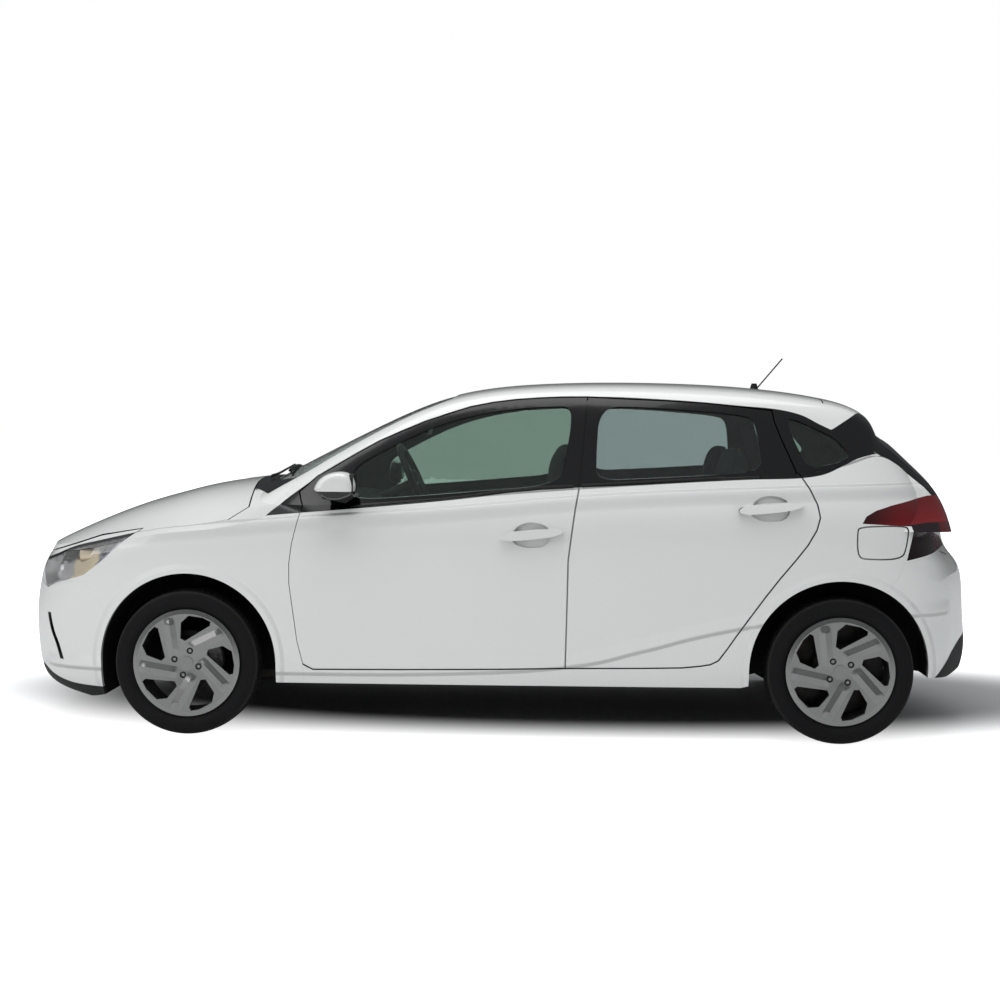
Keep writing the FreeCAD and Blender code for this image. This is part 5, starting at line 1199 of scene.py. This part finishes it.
def closed_curve(points, count):
    """A uniform cubic B-spline round a closed control polygon: each span weighs its four nearest corners."""
    points = np.asarray(points, float)
    place = np.linspace(0.0, len(points), count, endpoint=False)
    span = place.astype(int)
    t = (place - span)[:, None]
    a, b, c, d = (points[(span + k - 1) % len(points)] for k in range(4))
    return (a * (1 - t) ** 3 + b * (3 * t ** 3 - 6 * t ** 2 + 4) + c * (-3 * t ** 3 + 3 * t ** 2 + 3 * t + 1)
            + d * t ** 3) / 6


print("seat outline corners:", len(SEAT_OUTLINE))

# %% [markdown]
# ## Bolsters, seams and pleats
# A car seat is foam under sewn cloth: a crowned middle with cross pleats, and raised bolsters at each side with a seam
# between them. We carry the outline across the seat. Near the sides it moves inwards along its own normals, which
# rounds the edges; on the faces that carry a person the bolsters rise and the pleats sink in. Seat cloth would sag
# under a simulation too, but pleats this tight hold their form, so a formula gives a cleaner result.

# %% Outline carried across, with bolsters, seams and pleats
SEAT_LENGTH = 0.500
SEAT_HEIGHT = 0.702
SEAT_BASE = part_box("front_seat_left")[0].z
PERSON_WAY = (-0.64, 0.77)
EDGE_ROUND = 0.034
PLEAT_DEPTH = 0.005
BOLSTER_RISE = 0.020
BOLSTER_EDGE = 0.02
SEAM_DEPTH = 0.007
SEAM_WIDTH = 0.006


def stuffed(outline, corner, middle, half, panels, count=150, rows=57, pleats=26.0):
    """Outline carried across: in by the edge round near the sides, out on bolsters, in along seams and pleats."""
    curve = closed_curve(outline, count) * np.array([SEAT_LENGTH, SEAT_HEIGHT]) + np.array(corner)
    ahead = np.roll(curve, -1, 0) - np.roll(curve, 1, 0)
    ahead /= np.linalg.norm(ahead, axis=1, keepdims=True)
    normal = np.stack([-ahead[:, 1], ahead[:, 0]], 1)
    if ((curve - curve.mean(0)) * normal).sum() < 0:
        normal = -normal
    length = np.cumsum(np.linalg.norm(curve - np.roll(curve, 1, 0), axis=1))
    carries = np.clip((normal @ np.array(PERSON_WAY) - 0.15) / 0.35, 0.0, 1.0)[None, :]
    across = np.sin(np.linspace(-math.pi / 2, math.pi / 2, rows)) * half
    inside = np.clip((np.abs(across) - (half - EDGE_ROUND)) / EDGE_ROUND, 0.0, 1.0)[:, None]
    pleat = -PLEAT_DEPTH * np.abs(np.sin(length * pleats))[None, :] ** 6
    flat = np.zeros((rows, 1))
    seam = np.zeros((rows, 1))
    for centre, width in panels:
        off = np.abs(across - centre)[:, None]
        flat = np.maximum(flat, np.clip((width - off) / BOLSTER_EDGE, 0.0, 1.0))
        seam = np.maximum(seam, np.exp(-((off - width) / SEAM_WIDTH) ** 2))
    rise = (1.0 - flat) * BOLSTER_RISE * (1.0 - inside)
    move = -EDGE_ROUND * 0.9 * (1.0 - np.sqrt(1.0 - 0.98 * inside ** 2))
    move = move + carries * (rise + flat * pleat - seam * SEAM_DEPTH * (1.0 - inside))
    x = curve[None, :, 0] + move * normal[None, :, 0]
    z = curve[None, :, 1] + move * normal[None, :, 1]
    y = np.broadcast_to(middle + across[:, None], x.shape)
    return np.stack([x, y, z], -1)


print("seat base at %.3f m" % SEAT_BASE)

# %% [markdown]
# ## Seat cloth
# Seat cloth is woven from grey threads. Two waves that cross each other are the warp and the weft, and their product
# is the weave. It gives both the colour and the relief.

# %% Woven cloth
THREAD_SCALE = 260.0
THREAD_DARK = (0.030, 0.031, 0.034)
THREAD_LIGHT = (0.085, 0.087, 0.092)
CLOTH_WORN = (0.050, 0.051, 0.055)


def seat_cloth():
    """Woven cloth: the product of two crossed waves of thread, clouded by wear."""
    tree = Tree("woven_seat_cloth")
    weave = tree.times(tree.bands("Y", THREAD_SCALE), tree.bands("Z", THREAD_SCALE))
    colour = tree.mix(tree.noise(6.0, 4.0), tree.mix(weave, THREAD_DARK, THREAD_LIGHT), CLOTH_WORN)
    return tree.finish(Base_Color=colour, Roughness=0.92, Normal=tree.bump(weave, 0.0008), Sheen_Weight=0.35,
                       Sheen_Roughness=0.5)


cloth = seat_cloth()
print("cloth made")

# %% [markdown]
# ## Seats and head restraints in place
# The front seats have one place each and the rear bench has two, so the bench gets two flat panels and two head
# restraints. A restraint is the same kind of pad on two chromed posts. Each pad rides on the body and takes the place
# of the CAD block.

# %% Pads, restraints and posts
FRONT_SEAT_X = -0.230
REAR_SEAT_X = 0.478
FRONT_SEAT_HALF = extent_of("front_seat_left").y / 2
REAR_SEAT_HALF = extent_of("rear_seat").y / 2
FRONT_PANEL = 0.150
REAR_PANEL = 0.215
HEAD_HALF = 0.130
POST_RADIUS = 0.005
chrome = worn_metal("restraint_post_chrome", (0.70, 0.70, 0.71), (0.60, 0.60, 0.60), 1.0, 0.15)
seat_places = {"front_seat_left": (FRONT_SEAT_X, FRONT_SEAT_HALF, FRONT_PANEL, (0.0,)),
               "front_seat_right": (FRONT_SEAT_X, FRONT_SEAT_HALF, FRONT_PANEL, (0.0,)),
               "rear_seat": (REAR_SEAT_X, REAR_SEAT_HALF, REAR_PANEL, (-0.345, 0.345))}


def restraint(name, number, start, place):
    """A padded head restraint on two posts."""
    head = stuffed(HEAD_OUTLINE, (start, SEAT_BASE), place, HEAD_HALF, [(0.0, 0.09)], 90, 41, 0.0)
    rest = grid_piece("%s_restraint_%d" % (name, number), head, "car", cloth, False, True, True, 60.0)
    for letter, post in (("a", -0.05), ("b", 0.05)):
        foot = (start + 0.985 * SEAT_LENGTH, place + post, SEAT_BASE + 0.93 * SEAT_HEIGHT)
        top = (start + 0.965 * SEAT_LENGTH, place + post, SEAT_BASE + 1.08 * SEAT_HEIGHT)
        bar = tube(smooth_path([foot, top], 6), POST_RADIUS)
        grid_piece("%s_post_%d_%s" % (name, number, letter), bar, "car", chrome, False, True, True, 40.0)


for name, (start, half, panel, heads) in seat_places.items():
    middle = centre_of(name).y
    seat = stuffed(SEAT_OUTLINE, (start, SEAT_BASE), middle, half, [(head, panel) for head in heads])
    pad = grid_piece(name + "_pad", seat, "car", cloth, False, True, True, 60.0)
    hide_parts(name)
    for number, head in enumerate(heads):
        restraint(name, number, start, middle + head)
print("seats:", len(seat_places))

# %% [markdown]
# ## Steering wheel hub
# The CAD wheel has its rim, a crossbar and the column. The padded hub in the middle is moulded: a soft square with
# round corners that swells towards the driver. A superellipse gives that outline, and a cosine gives the swell. Two
# lower spokes join it to the rim.

# %% Moulded hub and two lower spokes
STEER_CENTRE = np.array((-0.430, 0.360, 0.975))
STEER_LEAN = math.radians(65.0)
HUB_HALF_WIDTH = 0.082
HUB_HALF_HEIGHT = 0.062
HUB_POWER = 3.2
HUB_EDGE = 0.25
SPOKE_SECTION = ((-0.014, -0.004), (-0.011, 0.004), (0.0, 0.006), (0.011, 0.004), (0.014, -0.004), (0.0, -0.007))
SPOKE_STEPS = 12
to_driver = np.array([math.sin(STEER_LEAN), 0.0, math.cos(STEER_LEAN)])
wheel_up = np.array([-math.cos(STEER_LEAN), 0.0, math.sin(STEER_LEAN)])
wheel_side = np.array([0.0, 1.0, 0.0])


def hub_pad():
    """Rings of a superellipse that shrink towards the middle while they rise by a cosine."""
    angle = np.linspace(0.0, math.tau, 72, endpoint=False)[None, :]
    share = np.linspace(0.0, 1.0, 18)[:, None]
    turn = (share - HUB_EDGE) / 0.75 * math.pi / 2
    size = np.where(share < HUB_EDGE, 0.86 + 0.56 * share, np.cos(turn) ** 0.6)
    height = np.where(share < HUB_EDGE, -0.024 + 0.12 * share, 0.006 + 0.018 * np.sin(turn))
    radius = (np.abs(np.cos(angle)) ** HUB_POWER + np.abs(np.sin(angle)) ** HUB_POWER) ** (-1 / HUB_POWER)
    a = HUB_HALF_WIDTH * size * radius * np.cos(angle)
    b = HUB_HALF_HEIGHT * size * radius * np.sin(angle)
    rise = np.broadcast_to(height, a.shape)
    return STEER_CENTRE + a[..., None] * wheel_side + b[..., None] * wheel_up + rise[..., None] * to_driver


grid_piece("steering_hub_pad", hub_pad(), "steering", dash_plastic, False, True, True, 40.0)
for side_name, side in SIDES:
    start = STEER_CENTRE + wheel_side * side * 0.035 - wheel_up * 0.045
    end = STEER_CENTRE + wheel_side * side * 0.105 - wheel_up * 0.145
    bow = np.sin(np.linspace(0.0, 1.0, SPOKE_STEPS)[:, None] * math.pi)
    path = straight(start, end, SPOKE_STEPS) - to_driver * 0.004 * bow
    spoke = swept(path, SPOKE_SECTION, np.tile(to_driver, (SPOKE_STEPS, 1)))
    grid_piece("steering_spoke_" + side_name, spoke, "steering", dash_plastic, False, True, True, 40.0)
print("steering wheel dressed")

# %% [markdown]
# ## Door mirrors
# A door mirror's glass sits in a black bezel on the shell's rear face. Bezel and glass are the same rounded outline at
# different sizes: the bezel is a short ring between two of them, and the glass is a slightly domed plate inside.

# %% Bezels and glasses of the door mirrors
ACROSS = (0.0, 1.0, 0.0)
UP = (0.0, 0.0, 1.0)
BACK = (1.0, 0.0, 0.0)
BEZEL_STEPS = ((1.0, -0.030), (1.0, 0.004), (0.98, 0.008), (0.94, 0.009), (0.90, 0.006), (0.88, -0.002),
               (0.88, -0.030))
GLASS_STEPS = ((0.87, -0.010), (0.87, 0.001), (0.80, 0.0022), (0.5, 0.0034), (0.2, 0.0038))
MIRROR_HALF = (0.064, 0.040)


def mirror_silver():
    """Silvered glass with the faintest haze."""
    tree = Tree("mirror_silver")
    haze = tree.noise(20.0, 3.0)
    colour = tree.mix(haze, (0.86, 0.88, 0.89), (0.80, 0.82, 0.83))
    return tree.finish(Base_Color=colour, Metallic=1.0, Roughness=tree.times(haze, 0.06))


def rounded_plate(centre, half, steps):
    """Rings of a rounded rectangle that faces back: each step gives a size share and a height out of the plate."""
    angle = np.linspace(0.0, math.tau, 64, endpoint=False)[None, :]
    radius = (np.abs(np.cos(angle)) ** 4 + np.abs(np.sin(angle)) ** 4) ** -0.25
    share, height = np.array(steps).T[:, :, None]
    a = half[0] * share * radius * np.cos(angle)
    b = half[1] * share * radius * np.sin(angle)
    rise = np.broadcast_to(height, a.shape)
    return (np.asarray(centre) + a[..., None] * np.asarray(ACROSS) + b[..., None] * np.asarray(UP)
            + rise[..., None] * np.asarray(BACK))


silver = mirror_silver()
for side_name, side in SIDES:
    body = "front_door_" + side_name[0]
    low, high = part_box("mirror_" + side_name)
    outer = low.y if side < 0 else high.y
    place = (high.x - 0.012, outer - side * 0.078, (low.z + high.z) / 2 + 0.012)
    ring = rounded_plate(place, MIRROR_HALF, BEZEL_STEPS)
    grid_piece("mirror_bezel_" + side_name, ring, body, trim_plastic, True, True, False, 30.0)
    plate = rounded_plate(place, MIRROR_HALF, GLASS_STEPS)
    grid_piece("mirror_glass_" + side_name, plate, body, silver, False, True, True, 30.0)
print("door mirrors made")

# %% [markdown]
# ## Cabin mirror
# The cabin mirror hangs from the top of the windscreen on a short stem. A ray shot down at the screen gives the place
# where the stem is glued to the glass.

# %% Cabin mirror and its stem
SHELL_STEPS = ((0.45, -0.026), (0.80, -0.022), (0.97, -0.010), (1.0, 0.0), (0.98, 0.004), (0.94, 0.005))
SHELL_HALF = (0.115, 0.032)
hang = from_above(screen_skin, [(-0.400, 0.0)], -0.010)[0][0]
mirror_place = hang + np.array([0.055, 0.0, -0.060])
bend = (hang + mirror_place) / 2 + np.array([0.004, 0.0, 0.006])
stem = smooth_path([hang, bend, mirror_place - np.array([0.014, 0.0, -0.006])], 12)
grid_piece("cabin_mirror", rounded_plate(mirror_place, SHELL_HALF, SHELL_STEPS), "car", trim_plastic, False, True,
           True, 30.0)
grid_piece("cabin_mirror_stem", tube(stem, 0.007), "car", trim_plastic, False, True, True, 40.0)
print("cabin mirror at", np.round(mirror_place, 3))

# %% [markdown]
# ## Camera
# The photograph was taken from the car's left, at about a standing person's height and from seven and a half metres,
# turned slightly to the front. Three small angles place the view: yaw turns it about the upright, pitch tips it down
# and roll levels it. From them follow the camera's own three axes.

# %% Camera at the photograph's place
CAMERA_PLACE = (0.28886, -7.51485, 1.25)
YAW = -0.04191
PITCH = -0.04491
ROLL = 0.00822
LENS = 61.2
SENSOR = 36.0
FARTHEST = 200.0


def camera_axes(yaw, pitch, roll):
    """Ahead from yaw and pitch, right level with the ground, up across both; then right and up rolled together."""
    ahead = Vector((math.sin(yaw) * math.cos(pitch), math.cos(yaw) * math.cos(pitch), math.sin(pitch)))
    right = Vector((math.cos(yaw), -math.sin(yaw), 0.0))
    up = right.cross(ahead)
    return ahead, math.cos(roll) * right + math.sin(roll) * up, math.cos(roll) * up - math.sin(roll) * right


ahead, right, up = camera_axes(YAW, PITCH, ROLL)
camera = bpy.data.objects.new("camera", bpy.data.cameras.new("camera"))
scene.collection.objects.link(camera)
camera.data.sensor_width = SENSOR
camera.data.lens = LENS
camera.data.clip_end = FARTHEST
camera.matrix_world = Matrix.Translation(CAMERA_PLACE) @ Matrix((right, up, -ahead)).transposed().to_4x4()
scene.camera = camera
print("camera looks along", tuple(round(part, 3) for part in ahead))

# %% [markdown]
# ## Floor
# The ground is pure white with a soft shadow under the car. The floor is a matt pale sheet that takes the car's real
# shadow, and inside an ellipse round the car it is also painted darker, a painted shadow. For rays that come straight
# from the camera or through glass, the floor is given light of its own outside that ellipse, so the sheet fades into
# the white behind it and shows no edge.

# %% Pale floor that fades to white
FLOOR_HALF = 30.0
FLOOR_TONE = (0.78, 0.78, 0.78)
FLOOR_SPECK = (0.0, 0.0, 0.0)
PAINTED_SHADOW_TONE = (0.38, 0.38, 0.38)
SHADE_CENTRE = (0.35, 0.45, 0.0)
SHADE_REACH = (2.6, 1.05, 1.0)
WHITE_LIGHT = (1.0, 1.0, 1.0, 1.0)


def floor_finish():
    """Matt floor, painted darker inside an ellipse round the car as a painted shadow; for camera and transmission rays
    its own light grows from 0 in the shade to 1 outside the ellipse.
    """
    tree = Tree("studio_floor")
    offset, scaled, reach = (tree.add("ShaderNodeVectorMath", {"operation": operation})
                             for operation in ("SUBTRACT", "DIVIDE", "LENGTH"))
    tree.feed_all(reach, tree.feed_all(scaled, tree.feed_all(offset, tree.place, SHADE_CENTRE), SHADE_REACH))
    far = tree.ramp(reach.outputs["Value"], 0.75, 1.35)
    rays = tree.add("ShaderNodeLightPath").outputs
    seen = tree.most(rays["Is Camera Ray"], rays["Is Transmission Ray"])
    # Painted shadow: the floor's colour is darker inside the ellipse round the car and pale outside it.
    tone = tree.mix(far, PAINTED_SHADOW_TONE, FLOOR_TONE)
    tone = tree.mix(tree.times(tree.noise(40.0, 2.0), 0.03), tone, FLOOR_SPECK)
    return tree.finish(Base_Color=tone, Roughness=0.9, Emission_Color=WHITE_LIGHT,
                       Emission_Strength=tree.times(seen, far))


corners = [(x * FLOOR_HALF, y * FLOOR_HALF, 0.0) for x, y in ((-1, -1), (1, -1), (1, 1), (-1, 1))]
floor_mesh = bpy.data.meshes.new("floor")
floor_mesh.from_pydata(corners, [], [(0, 1, 2, 3)])
floor = bpy.data.objects.new("floor", floor_mesh)
scene.collection.objects.link(floor)
dress(floor, floor_finish())
print("floor is %.0f m wide" % (2 * FLOOR_HALF))

# %% [markdown]
# ## Even light all round
# A studio lights a white car with one very large soft source overhead, so the roof and shoulders are bright and the
# sides darken gently towards the sills. The world is that source: a dome that is bright above and dim near the floor,
# a little weaker behind the car and weaker again in reflections. What the camera sees past the car is pure white.

# %% World dome
FILL_TONE = (0.94, 0.97, 1.0, 1.0)
FILL_LEVEL = 0.72
LOW_FILL = 0.17
BEHIND_SHARE = 0.6
MIRRORED_SHARE = 0.4


def studio_world():
    """Fill that grows with the height of a ray's way, and pure white for camera rays and rays through glass."""
    world = bpy.data.worlds.new("studio")
    world.use_nodes = True
    scene.world = world
    tree = NodeTree(world.node_tree)
    tree.nodes.clear()
    way = tree.add("ShaderNodeSeparateXYZ", Vector=tree.add("ShaderNodeTexCoord").outputs["Generated"]).outputs
    rays = tree.add("ShaderNodeLightPath").outputs
    dome = tree.ramp(way["Z"], -0.10, 0.60, LOW_FILL, FILL_LEVEL)
    behind = tree.spread(way["Y"], 0.0, 0.9, 1.0, BEHIND_SHARE)
    calm = tree.spread(rays["Is Glossy Ray"], 0.0, 1.0, 1.0, MIRRORED_SHARE)
    strength = tree.times(tree.times(dome, behind), calm)
    fill = tree.add("ShaderNodeBackground", Color=FILL_TONE, Strength=strength)
    white = tree.add("ShaderNodeBackground", Color=WHITE_LIGHT)
    seen = tree.most(rays["Is Camera Ray"], rays["Is Transmission Ray"])
    shown = tree.feed_all(tree.add("ShaderNodeMixShader"), seen, fill.outputs[0], white.outputs[0])
    tree.add("ShaderNodeOutputWorld", Surface=shown)


studio_world()
print("dome from %.2f to %.2f" % (LOW_FILL, FILL_LEVEL))

# %% [markdown]
# ## Two soft lamps
# Even light alone makes a flat picture. A large lamp overhead, nearer to the camera's side, lifts the shoulders, and a
# smaller one in front models the nose. Their power is kept so low that the paint stays below pure white.

# %% Soft lamps that look at the car
CAR_MIDDLE = (0.0, 0.0, 0.5)
LAMPS = {"overhead_softbox": ((-0.8, -1.8, 8.0), 7.0, 340.0), "front_left_softbox": ((-6.0, -5.5, 3.8), 4.0, 90.0)}


def soft_lamp(name, place, width, power):
    """A square area lamp, a width in metres and a power in watts, that looks at the car's middle."""
    lamp = bpy.data.lights.new(name, "AREA")
    lamp.size = width
    lamp.energy = power
    thing = bpy.data.objects.new(name, lamp)
    scene.collection.objects.link(thing)
    thing.location = place
    thing.rotation_euler = (Vector(CAR_MIDDLE) - Vector(place)).to_track_quat("-Z", "Y").to_euler()


for name, (place, width, power) in LAMPS.items():
    soft_lamp(name, place, width, power)
scene.view_settings.view_transform = "Standard"
print("lamps:", len(LAMPS))
